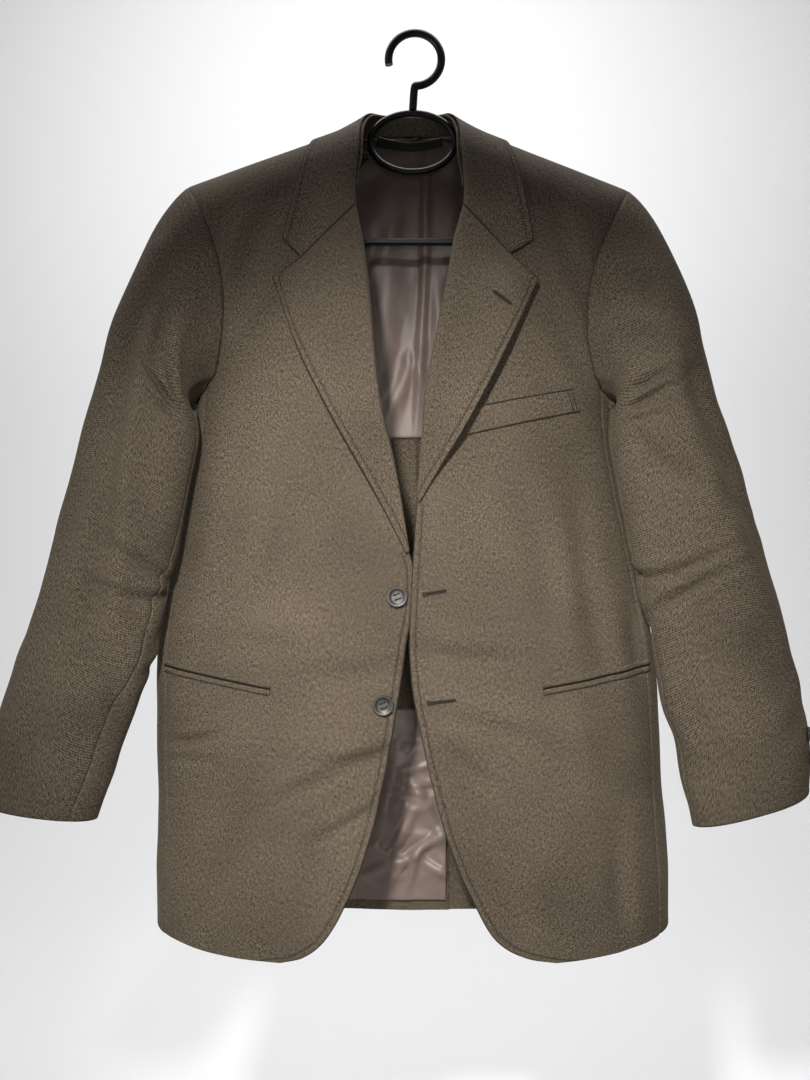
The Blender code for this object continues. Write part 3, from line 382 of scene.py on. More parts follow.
# Creases of the satin, hanging from the neck and crushed at the hem
UPPER_LINING_CREASES = folds(
    (9, -250, 88, 330, 9, -4.0, 3), (-28, -260, 86, 260, 26, -3.0, 6), (28, -300, -86, 220, 22, -3.4, -5),
    (-52, -290, 80, 240, 30, -2.6, 6), (52, -250, -80, 240, 30, -2.6, -6), (-10, -340, 70, 120, 16, -2.6, 5),
    (-34, -210, 60, 90, 14, -1.8, 4), (18, -360, -64, 90, 13, -2.2, -4),
)
LOWER_LINING_CREASES = folds(
    (-12, -818, 62, 110, 13, -3.2, 6), (4, -838, 40, 90, 11, -3.0, -5), (-24, -852, 24, 90, 11, -2.8, 6),
    (-4, -866, 72, 70, 9, -2.6, 3), (16, -800, -60, 110, 14, -3.0, 5), (-32, -800, 76, 130, 15, -2.6, -6),
    (20, -856, -30, 70, 11, -2.6, 4), (-42, -834, -34, 70, 12, -2.4, 4), (0, -750, 84, 120, 18, -2.0, 5),
    (-20, -740, 74, 110, 15, -2.0, -5), (-90, -800, 70, 150, 24, -2.4, 8), (-110, -850, 30, 110, 18, -2.2, 5),
)


def ripple(u: Array, v: Array, size: float, seed: float) -> Array:
    """Uneven low waves, the same each run.

    Args:
        u: places across.
        v: places up.
        size: about how long a wave is.
        seed: which set of waves.

    Returns:
        Their height at each place, between -1 and 1.
    """
    total = np.zeros_like(np.asarray(u, float))
    for i in range(6):
        angle = 1.1 * i + seed
        wave = 2 * math.pi / (size * (0.7 + 0.17 * i))
        shift = 1.7 * np.sin((u * math.sin(angle) - v * math.cos(angle)) * wave * 0.43 + seed * 3)
        total += np.sin((u * math.cos(angle) + v * math.sin(angle)) * wave + 2.3 * i + shift)
    return total / 4.0


@dataclass
class BodyForm:
    """The form of the trunk that fronts, sides and back are laid on."""

    gain: float = 3.8
    front_wave: float = 1.7
    back_wave: float = 1.3

    def shoulder_z(self, x: Array) -> Array:
        """Height of the shoulder line, carried on over the neck.

        Args:
            x: places across.

        Returns:
            The height at each place.
        """
        right, left = (
            NECK_POINT_Z[side] - SHOULDER_FALL[side] * (np.abs(x) - NECK_POINT[side])
            for side in (Side.RIGHT, Side.LEFT)
        )
        return blend(right, left, step(-30, 30, x))

    def section_depth(self, x: Array, z: Array, front: bool, out: Array) -> Array:
        """Depth of the body's section before the shoulder rounds it off.

        Args:
            x: places across.
            z: heights.
            front: whether the front's depth is asked for.
            out: how far the section is moved out.

        Returns:
            The depth at each place.
        """
        half_width = BODY["half_width"](z) + out
        depth = BODY["front_depth" if front else "back_depth"](z) + out
        across = np.minimum(1.0, np.abs((x - BODY["centre_x"](z)) / half_width))
        return depth * (1 - across**ROUNDNESS) ** (1 / ROUNDNESS)

    def crease_depth(self, x: Array, z: Array, front: bool) -> Array:
        """All folds and creases of the front or the back.

        Args:
            x: places across.
            z: heights.
            front: whether it is the front.

        Returns:
            How far they draw the cloth in.
        """
        if front:
            fine = self.gain * drawn(FRONT_CREASES, x, z)
            return drawn(LARGE_FOLDS, x, z) + fine + self.front_wave * ripple(x, z, 95.0, 0.4)
        fine = self.gain * drawn(BACK_CREASES, x, z)
        return 0.6 * drawn(LARGE_FOLDS, -x, z) + fine + self.back_wave * ripple(x, z, 110.0, 2.1)

    def y(self, x: Array, z: Array, front: bool, out: Array = 0.0) -> Array:
        """The cloth's place in depth.

        Args:
            x: places across.
            z: heights.
            front: whether it is the front.
            out: how far it is moved out from the form.

        Returns:
            Y at each place.
        """
        share = np.clip((self.shoulder_z(x) + out - z) / (SHOULDER_ROUND + out), 0.0, 1.0)
        round_off = np.sqrt(np.maximum(0.0, 1 - (1 - share) ** 2))
        depth = SHOULDER_SPLIT + self.section_depth(x, z, front, out) * round_off
        crease = self.crease_depth(x, z, front) * round_off
        return crease - depth if front else depth - crease

    def push_out(self, x: Array, y: Array, z: Array, out: Array) -> Array:
        """Moves points straight out of the form where they lie nearer than out.

        Args:
            x: places across.
            y: places in depth.
            z: heights.
            out: the least distance from the form.

        Returns:
            The points.
        """
        front = y < 0
        depth = np.where(front, self.section_depth(x, z, True, out), self.section_depth(x, z, False, out))
        depth = depth + SHOULDER_SPLIT
        height = SHOULDER_ROUND + out
        base = self.shoulder_z(x) + out - height
        surface = np.where(front, np.abs(self.y(x, z, True, out)), np.abs(self.y(x, z, False, out)))
        low = z <= base
        reach = np.maximum(np.hypot(y / depth, (z - base) / height), 1e-6)
        near = (~low) & (reach < 1)
        new_y = np.where(low, np.copysign(np.maximum(np.abs(y), surface), y), np.where(near, y / reach, y))
        return point_at(x, new_y, np.where(near, base + (z - base) / reach, z))

    def outer_x(self, z: Array, side: Side) -> Array:
        """Outer edge of a front or back: the side seam, and above the underarm the armhole.

        Args:
            z: heights.
            side: which side.

        Returns:
            X at each height.
        """
        low = np.where(z < UNDERARM_Z, np.maximum(z, -900), UNDERARM_Z)
        share = math.sin(math.radians(SIDE_SEAM_ANGLE)) ** (2 / ROUNDNESS)
        seam = BODY["centre_x"](low) + side.sign * share * BODY["half_width"](low)
        arm = side.sign * ARM_EDGE[side.value](np.maximum(z, ARM_JOIN_Z))
        return blend(seam, arm, step(UNDERARM_Z, ARM_JOIN_Z, z))

    def inner_x(self, z: Array, side: Side) -> Array:
        """Inner edge of a front: its front edge, the roll line, then the neckline under the collar.

        Args:
            z: heights.
            side: which side.

        Returns:
            X at each height.
        """
        clear = side.sign * ROLL_CLEARANCE * step(BREAK_Z[side] - 6, BREAK_Z[side] + 10, z)
        x = EDGE[side](np.minimum(z, GORGE_Z)) + clear
        neck = side.sign * (NECK_POINT[side] - 2.0)
        return blend(x, neck, step(GORGE_Z + 4, NECK_POINT_Z[side] - 2, z))

    def level_z(self, x: Array, run: Array, hem: Array) -> Array:
        """Height of a panel's rows: rows to the chest, then rows round the shoulder.

        Args:
            x: places across.
            run: shares of the way up.
            hem: the hem's height at each place.

        Returns:
            The height at each place.
        """
        top = self.shoulder_z(x)
        share = np.clip(run, 0, SHOULDER_ROWS_SHARE) / SHOULDER_ROWS_SHARE
        low = blend(hem, top - SHOULDER_ROUND, share**HEM_CROWDING)
        turn = np.radians(90 * (1 - run) / (1 - SHOULDER_ROWS_SHARE))
        high = top - SHOULDER_ROUND * (1 - np.cos(turn))
        return np.where(run <= SHOULDER_ROWS_SHARE, low, high)

    def front_lap(self, x: Array, z: Array) -> Array:
        """How far the left front stands out where it laps over the right one."""
        return OVERLAP_STEP * (1 - step(20, 60, x)) * (1 - step(-480, -430, z))

    def vent_step(self, x: Array, z: Array) -> Array:
        """How far the vent's underlap lies inside the other back half."""
        return VENT_STEP * (1 - step(VENT_TOP_Z + 90, VENT_TOP_Z + 150, z)) * step(-60, -12, x)


FORM = BodyForm()


def spread(across: Array) -> Array:
    """Columns crowded toward a panel's outer edge, where the form turns away."""
    return np.sin(np.radians(COLUMN_TURN * across)) / math.sin(math.radians(COLUMN_TURN))


def even_out(values: Array) -> Array:
    """The values, averaged over a stretch of rows, so that small folds don't twist the weave."""
    padded = np.pad(values, ((MAP_REACH, MAP_REACH), (0, 0)), mode="edge")
    return sum(padded[i : i + len(values)] for i in range(2 * MAP_REACH + 1)) / (2 * MAP_REACH + 1)


def lay_front(side: Side, across: Array, run: Array) -> Array:
    """Lays a front panel.

    Args:
        side: which front.
        across: shares of the way from its front edge to its side seam.
        run: shares of the way up from the hem.

    Returns:
        The points.
    """
    share = spread(across)
    z = blend(-909.0, -130.0, run)
    for _ in range(SETTLE_ROUNDS):
        x = blend(FORM.inner_x(z, side), FORM.outer_x(z, side) - side.sign * SEAM_GAP, share)
        z = blend(z, FORM.level_z(x, run, FRONT_HEM(np.abs(x))), SETTLE_SHARE)
    lap = FORM.front_lap(x, z) if side is Side.LEFT else 0.0
    width = np.abs(FORM.outer_x(z, side) - FORM.inner_x(z, side))
    dip = SEAM_DIP * hump((1 - share) * width, SEAM_REACH)
    return point_at(x, FORM.y(x, z, True) - lap + dip, z)


def lay_back(side: Side, across: Array, run: Array) -> Array:
    """Lays a back half, with the vent's underlap on the right one.

    Args:
        side: which half.
        across: shares of the way from the centre seam to the side seam.
        run: shares of the way up from the hem.

    Returns:
        The points.
    """
    share = spread(across)
    z = blend(-903.0, -130.0, run)
    for _ in range(SETTLE_ROUNDS):
        centre = np.zeros_like(z)
        if side is Side.RIGHT:
            centre = blend(VENT_UNDERLAP, BACK_OVERLAP, step(VENT_TOP_Z, VENT_TOP_Z + 34, z))
        x = blend(centre, FORM.outer_x(z, side) - side.sign * SEAM_GAP, share)
        level = FORM.level_z(x, run, BACK_HEM(np.abs(x)))
        neck = BACK_NECKLINE(np.minimum(NECK_HALF, np.abs(x)))
        z = blend(z, np.where(np.abs(x) < NECK_HALF, np.minimum(level, neck), level), SETTLE_SHARE)
    y = FORM.y(x, z, False)
    if side is Side.RIGHT:
        y = y - np.maximum(FORM.vent_step(x, z), (WALL + 0.2) * step(-3.0, -0.3, x))
    seam = hump(np.abs(x), SEAM_REACH) * step(VENT_TOP_Z, VENT_TOP_Z + 20, z)
    width = np.abs(FORM.outer_x(z, side))
    return point_at(x, y - SEAM_DIP * (hump((1 - share) * width, SEAM_REACH) + seam), z)


def lay_side(side: Side, across: Array, run: Array) -> Array:
    """Lays a side panel, round under the arm.

    Args:
        side: which panel.
        across: shares of the way from the front's seam to the back's.
        run: shares of the way up from the hem.

    Returns:
        The points.
    """
    angle = blend(SIDE_SEAM_ANGLE + SIDE_SEAM_TRIM, 180 - SIDE_SEAM_ANGLE - SIDE_SEAM_TRIM, across)
    angle = np.radians(angle)
    belly = np.sin(math.pi * across)
    z = blend(SIDE_HEM(across), UNDERARM_Z - UNDERARM_SCOOP * belly, run)
    x = BODY["centre_x"](z) + side.sign * BODY["half_width"](z) * np.sin(angle) ** (2 / ROUNDNESS)
    turn = np.abs(np.cos(angle)) ** (2 / ROUNDNESS)
    front = across < 0.5
    y = np.where(front, -BODY["front_depth"](z) * turn, BODY["back_depth"](z) * turn)
    crease = np.where(front, FORM.crease_depth(x, z, True) * (1 - 2 * across), 0.0)
    crease = crease - np.where(front, 0.0, FORM.crease_depth(x, z, False) * (2 * across - 1))
    edge = SEAM_DIP * (hump(across * 74, SEAM_REACH) + hump((1 - across) * 62, SEAM_REACH))
    inward = 1.2 * ripple(z * 0.7, across * 60, 80.0, 1.3) * belly
    underarm = 4.5 * hump(z + 388, 24) * belly
    x = x - side.sign * (0.6 * edge + inward - underarm)
    return point_at(x, y + crease + np.where(front, 1, -1) * 0.5 * edge, z)


class SleeveForm:
    """The form of one sleeve: from the armhole through the cap, then down its rings to the cuff."""

    def __init__(self, side: Side) -> None:
        """Lays out the armhole's edge.

        Args:
            side: which sleeve.
        """
        self.side = side
        self.lines = SLEEVE[side]
        self.halves = {True: self._armhole(True), False: self._armhole(False)}

    def _armhole(self, front: bool) -> tuple[Array, Array]:
        """Walks half of the armhole, from the shoulder down to under the arm.

        Args:
            front: whether it is the front half.

        Returns:
            The share of its length at each point, and the points.
        """
        lay = lay_front if front else lay_back
        rows = np.linspace(1.0, 0.0, 900)
        edge = lay(self.side, np.ones_like(rows), rows)
        steps = np.linspace(0.0, 0.5, 40)
        under = lay_side(self.side, steps if front else 1 - steps, np.ones_like(steps))
        points = np.concatenate([edge[edge[:, 2] > UNDERARM_Z], under])
        length = walked(points, 0)
        return length / length[-1], points

    def armhole(self, angle: Array) -> Array:
        """Reads the armhole at an angle: 0 the shoulder, 90 the front, 180 under the arm.

        Args:
            angle: the angles.

        Returns:
            The points.
        """
        angle = (angle + 180) % 360 - 180
        place = np.abs(angle) / 180
        front, back = (
            np.stack([np.interp(place, share, points[:, i]) for i in range(3)], axis=-1)
            for share, points in self.halves.values()
        )
        gap = np.array([self.side.sign * SLEEVE_START_GAP, 0.0, 0.0])
        return np.where((angle >= 0)[..., None], front, back) + gap

    def ring(self, angle: Array, run: Array) -> Array:
        """A section across the arm: an ellipse.

        Args:
            angle: angles round the arm.
            run: shares of the way to the cuff.

        Returns:
            The points.
        """
        turn = np.radians(angle)
        line = {name: curve(run) for name, curve in self.lines.items()}
        outer_x, inner_x = (self.side.sign * line[name] for name in ("outer_x", "inner_x"))
        outer_z, inner_z = line["outer_z"], line["inner_z"]
        x = (outer_x + inner_x) / 2 + (outer_x - inner_x) / 2 * np.cos(turn)
        z = (outer_z + inner_z) / 2 + (outer_z - inner_z) / 2 * np.cos(turn)
        return point_at(x, line["centre_y"] - line["half_depth"] * np.sin(turn), z)

    def crease_depth(self, angle: Array, run: Array) -> Array:
        """All folds of the sleeve.

        Args:
            angle: angles round the arm.
            run: shares of the way to the cuff.

        Returns:
            How far they draw the sleeve in.
        """
        angle = (angle + 180) % 360 - 180
        u = angle * ROUND_ARM
        v = -run * SLEEVE_LENGTH
        total = np.zeros_like(u)
        for group, gain in ((SLEEVE_LARGE_FOLDS[self.side], 1.0), (SLEEVE_CREASES[self.side], SLEEVE_CREASE_GAIN)):
            for turn in (0.0, 360 * ROUND_ARM):
                total = total + gain * drawn(group, u - turn, v)
        around = np.radians(angle)
        wave = ripple(60 * np.cos(around), v + 60 * np.sin(around), 90.0, 0.9 + self.side.sign)
        calm = 1 - 0.9 * step(116, 148, np.abs(angle)) * (1 - step(0.26, 0.38, run))
        return (total + 1.5 * wave) * step(0.0, 0.06, run) * calm

    def point(self, angle: Array, run: Array, out: Array = 0.0) -> Array:
        """Points of the sleeve.

        Args:
            angle: angles round the arm.
            run: shares of the way to the cuff.
            out: how far they are moved out from it.

        Returns:
            The points.
        """
        t = np.clip(run / CAP_SHARE, 0.0, 1.0)[..., None]
        cap = np.full_like(run, CAP_SHARE)
        level = np.maximum(run, CAP_SHARE)
        start = self.armhole(angle)
        end = self.ring(angle, cap)
        after = (self.ring(angle, cap + 0.01) - end) * (CAP_SHARE / 0.01)
        top = ((1 + np.cos(np.radians(angle))) / 2)[..., None]
        sign = self.side.sign
        leave = (end - start) * 0.8 + np.array([sign * CAP_OUTWARD, 0.0, CAP_LIFT]) * top
        leave = leave + np.array([sign * UNDERARM_OUTWARD, 0.0, 0.0]) * (1 - top)
        h = (2 * t**3 - 3 * t**2 + 1, t**3 - 2 * t**2 + t, -2 * t**3 + 3 * t**2, t**3 - t**2)
        through = start * h[0] + leave * h[1] + end * h[2] + after * h[3]
        point = np.where((run < CAP_SHARE)[..., None], through, self.ring(angle, level))
        outward = point - (self.ring(np.zeros_like(run), level) + self.ring(np.full_like(run, 180.0), level)) / 2
        outward[..., 2] = 0.0
        outward /= np.linalg.norm(outward, axis=-1, keepdims=True)
        return point + outward * (out - self.crease_depth(angle, run))[..., None]


SLEEVES = {side: SleeveForm(side) for side in Side}


def lay_sleeve(side: Side, top: bool, across: Array, run: Array) -> Array:
    """Lays the top or the under sleeve.

    Args:
        side: which sleeve.
        top: whether it is the top sleeve.
        across: shares of the way round, from seam to seam.
        run: shares of the way to the cuff.

    Returns:
        The points.
    """
    trim, dip, reach = 0.12, 0.8, 2.4
    front = SLEEVE_SEAMS[side]["front"](run)
    back = SLEEVE_SEAMS[side]["back"](run)
    low, high = (back + trim, front - trim) if top else (front + trim, back + 360 - trim)
    width = (high - low) * ROUND_ARM
    seams = dip * (hump(across * width, reach) + hump((1 - across) * width, reach))
    return SLEEVES[side].point(blend(low, high, across), run, -seams)


def gorge(side: Side, share: Array, roll: tuple, end: tuple) -> tuple[Array, Array]:
    """The bent line from the roll along the gorge seam to the notch, then on to a corner.

    Args:
        side: which side.
        share: shares of the way along it.
        roll: X and Z where it starts.
        end: X and Z of the corner.

    Returns:
        X and Z at each share.
    """
    past = (share - GORGE_SHARE) / (1 - GORGE_SHARE)
    return tuple(
        np.where(share < GORGE_SHARE, blend(start, notch, share / GORGE_SHARE), blend(notch, corner, past))
        for start, notch, corner in zip(roll, NOTCH[side], end)
    )


def lay_lapel(side: Side, across: Array, run: Array) -> Array:
    """Lays a lapel, rolled at its roll line and lying on the front out to its edge.

    Args:
        side: which lapel.
        across: shares of the way from the roll to the edge.
        run: shares of the way up from the break.

    Returns:
        The points.
    """
    roll_z, edge_x, edge_z = (LAPEL[side][name](run) for name in ("roll_z", "edge_x", "edge_z"))
    roll_x = EDGE[side](roll_z)
    share = PROFILE["share"](across)
    bent_x, bent_z = gorge(side, share, (roll_x, roll_z), (edge_x, edge_z))
    near_gorge = step(0.7, 1.0, run)
    x = blend(blend(roll_x, edge_x, share), bent_x, near_gorge)
    z = blend(blend(roll_z, edge_z, share), bent_z, near_gorge)
    lift = blend(2.4, PROFILE["lift"](across), np.minimum(1.0, np.abs(edge_x - roll_x) / 26))
    lift = lift + 0.8 * ripple(x, z, 120.0, 3.3) * np.sin(math.pi * np.clip(share, 0, 1))
    curl = LAPEL_CURL[side] * step(0.2, 1.0, share) * step(0.06, 0.34, run)
    lift = lift + curl * (1 - 0.4 * step(0.6, 1.0, run))
    lap = FORM.front_lap(x, z) if side is Side.LEFT else 0.0
    return point_at(x, FORM.y(x, z, True) - lift - lap, z)


def collar_end(side: Side, across: Array) -> Array:
    """The end of the collar: along the gorge seam to the notch, then up to the collar's corner.

    Args:
        side: which end.
        across: shares of the way from the fold to the outer edge.

    Returns:
        The points.
    """
    share = PROFILE["share"](across)
    x, z = gorge(side, share, (EDGE[side](GORGE_Z), GORGE_Z), COLLAR_CORNER[side])
    z = z + 0.7
    lift = PROFILE["lift"](across) + COLLAR_CURL * step(0.45, 1.0, share)
    return point_at(x, FORM.y(x, z, True) - lift, z)


def lay_collar(across: Array, run: Array) -> Array:
    """Lays the collar's fall, from its fold to its outer edge.

    Args:
        across: shares of the way from the fold to the outer edge.
        run: shares of the way from the right gorge round to the left.

    Returns:
        The points.
    """
    left = run > 0.5
    place = np.abs(2 * run - 1)
    share = PROFILE["share"](across)
    line = {name: curve(np.minimum(place, 1.0)) for name, curve in COLLAR.items()}
    x, y, z = (blend(line["fold_" + axis], line["edge_" + axis], share) for axis in "xyz")
    x = NECK_CENTRE_X + np.where(left, 1.0, -1.0) * x
    point = FORM.push_out(x, y, z, np.maximum(3.0, PROFILE["lift"](across)))
    ends = np.where(left[..., None], collar_end(Side.LEFT, across), collar_end(Side.RIGHT, across))
    return blend(point, ends, step(0.72, 1.0, place)[..., None])


def lay_stand(across: Array, run: Array) -> Array:
    """Lays the collar's stand: inside the fold, down to the neck seam.

    Args:
        across: shares of the way from the fold to the seam.
        run: shares of the way from the right end round to the left.

    Returns:
        The points.
    """
    sign = np.where(run > 0.5, 1.0, -1.0)
    line = {name: curve(np.abs(2 * run - 1) * 0.9) for name, curve in COLLAR.items()}
    fold = point_at(sign * line["fold_x"], line["fold_y"], line["fold_z"] - STAND_INSET)
    raised = np.maximum(line["seam_z"], BACK_NECKLINE(line["seam_x"]) + 1.5)
    seam = point_at(sign * line["seam_x"], line["seam_y"], np.where(line["seam_y"] > 0, raised, line["seam_z"]))
    inward = point_at(-fold[..., 0], -fold[..., 1] - 14.0, np.zeros_like(sign))
    inward = inward / np.linalg.norm(inward, axis=-1, keepdims=True) * STAND_INSET * 1.5
    point = blend(fold, seam, across[..., None]) + inward * (1 - 0.6 * across)[..., None]
    return point + np.array([NECK_CENTRE_X, 0.0, 0.0])


def lining_y(x: Array, z: Array) -> Array:
    """The lining's side toward the back half, which it hangs clear of."""
    clear = WALL + 0.8
    return FORM.y(x, z, False) - clear - step(-260, -150, z) * 1.1 - FORM.vent_step(np.minimum(x, -12), z)


def lay_lining(heights: tuple, sides: tuple, creases: tuple, across: Array, run: Array) -> Array:
    """Lays a stretch of back lining.

    Args:
        heights: its hem's and its top's; a top past -200 follows the neckline.
        sides: X of its right and its left side.
        creases: its folds, of which only the ridges show.
        across: shares of the way across.
        run: shares of the way up.

    Returns:
        The points.
    """
    (low_z, high_z), x = heights, blend(*sides, across)
    top = np.full_like(x, high_z)
    if high_z > -200:
        top = BACK_NECKLINE(np.minimum(NECK_HALF, np.abs(x))) - 3.0 - 48.0 * step(26, 100, np.abs(x))
    z = blend(low_z, top, run)
    settle = np.minimum(1.0, 6 * (1 - run)) * np.minimum(1.0, 0.35 + 5 * run)
    hung = blend(0.34, 0.8, step(-600, -800, z))
    sharp = 1 - np.abs(ripple(x, z * hung, 74.0, 5.0))
    finer = 1 - np.abs(ripple(x + 9.0, z * hung, 41.0, 8.2))
    crumple = 1 + 0.9 * (1 - step(-800, -700, z))
    crush = np.minimum(drawn(creases, x, z), 0.0) * 1.5
    crush = crush - crumple * (2.6 * np.maximum(sharp, 0.0) + 1.2 * np.maximum(finer, 0.0))
    return point_at(x, lining_y(x, z) + crush * settle, z)


def lay_label(across: Array, run: Array) -> Array:
    """Lays the label across the top of the lining, a little bowed.

    Args:
        across: shares of the way across.
        run: shares of the way up.

    Returns:
        The points.
    """
    x = blend(-38.5, 28.8, across)
    z = blend(-104.0, -96.5, run) - 2.0 * np.sin(math.pi * across) + 2.0
    return point_at(x, lining_y(x, z) - 1.0 - 3.4, z)


def lay_patch(corners: tuple, lift: float, crown: float, across: Array, run: Array) -> Array:
    """Lays a piece on a front.

    Args:
        corners: X and Z of its upper edge's ends, then of its lower edge's ends.
        lift: how far its edges stand out.
        crown: how much farther its middle does.
        across: shares of the way across.
        run: shares of the way up.

    Returns:
        The points.
    """
    x, z = (
        blend(blend(low_start, low_end, across), blend(top_start, top_end, across), run)
        for top_start, top_end, low_start, low_end in zip(*corners)
    )
    out = lift + crown * np.sqrt(np.maximum(0.0, np.sin(math.pi * run)))
    return point_at(x, FORM.y(x, z, True, out), z)


class Graph:
    """The nodes of a material or world, added and linked in short lines."""

    def __init__(self, owner: bpy.types.ID, shader: str = "Principled BSDF") -> None:
        """Starts with the shader and output alone.

        Args:
            owner: the material or world.
            shader: its shader's name.
        """
        owner.use_nodes = True
        self.owner = owner
        self.tree = owner.node_tree
        self.shader = self.tree.nodes[shader]

    def add(self, kind: str, inputs: dict | None = None, **settings: object) -> bpy.types.Node:
        """A new node.

        Args:
            kind: the node's type.
            inputs: what its sockets take: a number, a colour or an output. None leaves one as it is.
            settings: its own settings.

        Returns:
            The node.
        """
        node = self.tree.nodes.new(kind)
        for name, value in settings.items():
            setattr(node, name, value)
        for name, value in (inputs or {}).items():
            self.feed(node.inputs[name], value)
        return node

    def feed(self, socket: object, value: object) -> None:
        """Gives a socket a number, a colour or another node's output.

        Args:
            socket: the input.
            value: what it takes. None leaves it as it is.
        """
        if isinstance(value, (int, float)):
            socket.default_value = value
        elif isinstance(value, tuple):
            socket.default_value = (*value, 1.0)[: len(socket.default_value)]
        elif value is not None:
            self.tree.links.new(value, socket)

    def math(self, operation: str, a: object, b: object = None, clamp: bool = False) -> object:
        """The output of a Math node on two values or outputs."""
        return self.add("ShaderNodeMath", {0: a, 1: b}, operation=operation, use_clamp=clamp).outputs[0]

    def noise(self, vector: object, scale: float, detail: float = 2.0, rough: float = 0.5) -> object:
        """The output of a Noise node."""
        inputs = {"Vector": vector, "Scale": scale, "Detail": detail, "Roughness": rough}
        return self.add("ShaderNodeTexNoise", inputs).outputs["Fac"]

    def threads(self, across: float, along: float) -> object:
        """Noise on the cloth's map, drawn out across and along the threads."""
        mapping = self.add("ShaderNodeMapping", {"Vector": self.cloth(), "Scale": (across, along, 1.0)})
        return self.noise(mapping.outputs[0], 1.0, 2.0, 0.6)

    def cloth(self) -> object:
        """The cloth's own map, in metres along its threads."""
        return self.add("ShaderNodeUVMap", uv_map="cloth").outputs["UV"]

    def place(self) -> object:
        """Each point's place on the object."""
        return self.add("ShaderNodeTexCoord").outputs["Object"]

    def mix(self, share: object, a: object, b: object) -> object:
        """A colour between a and b by share."""
        return self.add("ShaderNodeMix", {0: share, 6: a, 7: b}, data_type="RGBA").outputs[2]

    def range(self, value: object, low: float, high: float, to_low: float, to_high: float) -> object:
        """The value, moved from one range to another and kept inside it."""
        inputs = {"Value": value, "From Min": low, "From Max": high, "To Min": to_low, "To Max": to_high}
        return self.add("ShaderNodeMapRange", inputs, clamp=True).outputs["Result"]

    def bump(self, height: object, strength: float, distance: float = 0.0002, under: object = None) -> object:
        """The normal of a Bump node."""
        inputs = {"Strength": strength, "Distance": distance, "Height": height, "Normal": under}
        return self.add("ShaderNodeBump", inputs).outputs["Normal"]

    def finish(self, sockets: dict) -> bpy.types.ID:
        """Gives the shader's sockets what they take.

        Args:
            sockets: what each takes, by name.

        Returns:
            The material or world.
        """
        for name, value in sockets.items():
            self.feed(self.shader.inputs[name], value)
        return self.owner


@dataclass(frozen=True)
class WoolFinish:
    """Fine two-tone worsted: dark and tan threads that cross in small diagonal steps."""

    name: str = "brown_wool"
    dark: tuple = (0.0050, 0.0036, 0.0024)
    light: tuple = (0.150, 0.120, 0.086)
    seam: tuple = (0.010, 0.0075, 0.0055)
    # seam: the stitches' thread colour, also used as painted shade in their groove, along the edges and at the gorge
    # ends
    sheen_tint: tuple = (0.78, 0.66, 0.5)
    thread_mm: float = 2.2
    stitch_pitch_mm: float = 3.4
    stitched_and_shaded: bool = False

    def material(self) -> bpy.types.Material:
        """Builds the material.

        Returns:
            The material.
        """
        g = Graph(bpy.data.materials.new(self.name))
        uv = g.cloth()
        split = g.add("ShaderNodeSeparateXYZ", {0: uv})
        turns = math.tau / (self.thread_mm * MM)
        shift = g.math("MULTIPLY", g.noise(uv, 240.0, 2.0, 0.6), 3.5)
        across = g.math("ADD", g.math("MULTIPLY", split.outputs["X"], turns), shift)
        along = g.math("SUBTRACT", g.math("MULTIPLY", split.outputs["Y"], turns), shift)
        weave = g.math("MULTIPLY", g.math("SINE", across), g.math("SINE", along))
        slub, warp, weft = g.noise(uv, 640.0, 1.0, 0.6), g.threads(820.0, 270.0), g.threads(340.0, 820.0)
        tone = g.math("ADD", g.math("MULTIPLY", weave, 0.32), 0.43)
        for thread, weight in ((slub, 1.2), (warp, 1.3), (weft, 0.8)):
            tone = g.math("ADD", tone, g.math("MULTIPLY", g.math("SUBTRACT", thread, 0.5), weight))
        tone = g.math("ADD", tone, 0.0, clamp=True)
        patches = g.range(g.noise(g.place(), 9.0, 3.0, 0.5), 0.3, 0.7, 0.84, 1.14)
        colour = g.mix(tone, self.dark, self.light)
        base = g.add("ShaderNodeHueSaturation", {"Value": patches, "Color": colour}).outputs["Color"]
        height = g.math("ADD", g.math("MULTIPLY", tone, 0.7), g.math("MULTIPLY", weave, 0.15))
        normal = g.bump(height, 0.12)
        if self.stitched_and_shaded:
            base, normal = self._stitches(g, base, normal)
        sheen = {"Sheen Weight": 0.06, "Sheen Roughness": 0.45, "Sheen Tint": self.sheen_tint}
        return g.finish({"Base Color": base, "Normal": normal, "Roughness": 0.9, "Specular IOR Level": 0.16, **sheen})

    def _stitches(self, g: Graph, base: object, normal: object) -> tuple[object, object]:
        """Adds the pick stitches beside the edge, the cloth drawn down round them with painted shade in that groove,
        and painted shade along the edge.

        Args:
            g: the material's nodes.
            base: the cloth's colour.
            normal: the cloth's normal.

        Returns:
            The colour and the normal with them.
        """
        edge, run = (g.add("ShaderNodeAttribute", attribute_name=name).outputs["Fac"] for name in ("edge_mm", "run_mm"))
        away = g.math("ABSOLUTE", g.math("SUBTRACT", edge, EDGE_STITCH))
        groove = g.range(away, 0.0, 2.2, 1.0, 0.0)
        pulse = g.math("SINE", g.math("MULTIPLY", run, math.tau / self.stitch_pitch_mm))
        dot = g.math("MULTIPLY", g.range(away, 0.25, 0.75, 1.0, 0.0), g.range(pulse, -0.1, 0.3, 0.0, 1.0))
        dimple = g.math("MULTIPLY", groove, g.range(pulse, -1.0, 1.0, 0.55, 1.0))
        normal = g.bump(g.math("MULTIPLY", dimple, -1.0), 0.8, 0.0011, normal)
        # the stitches' own thread, plus painted shade in the groove drawn down round them
        seam = g.math("MULTIPLY", g.math("ADD", dot, g.math("MULTIPLY", groove, 0.45)), 0.6)
        # painted shade in a thin line along the edge and at the gorge ends, where the turned edge shades the cloth
        # beside it
        dark = g.math("ADD", seam, g.range(edge, 0.2, 1.7, 0.9, 0.0), clamp=True)
        return g.mix(dark, base, self.seam), normal


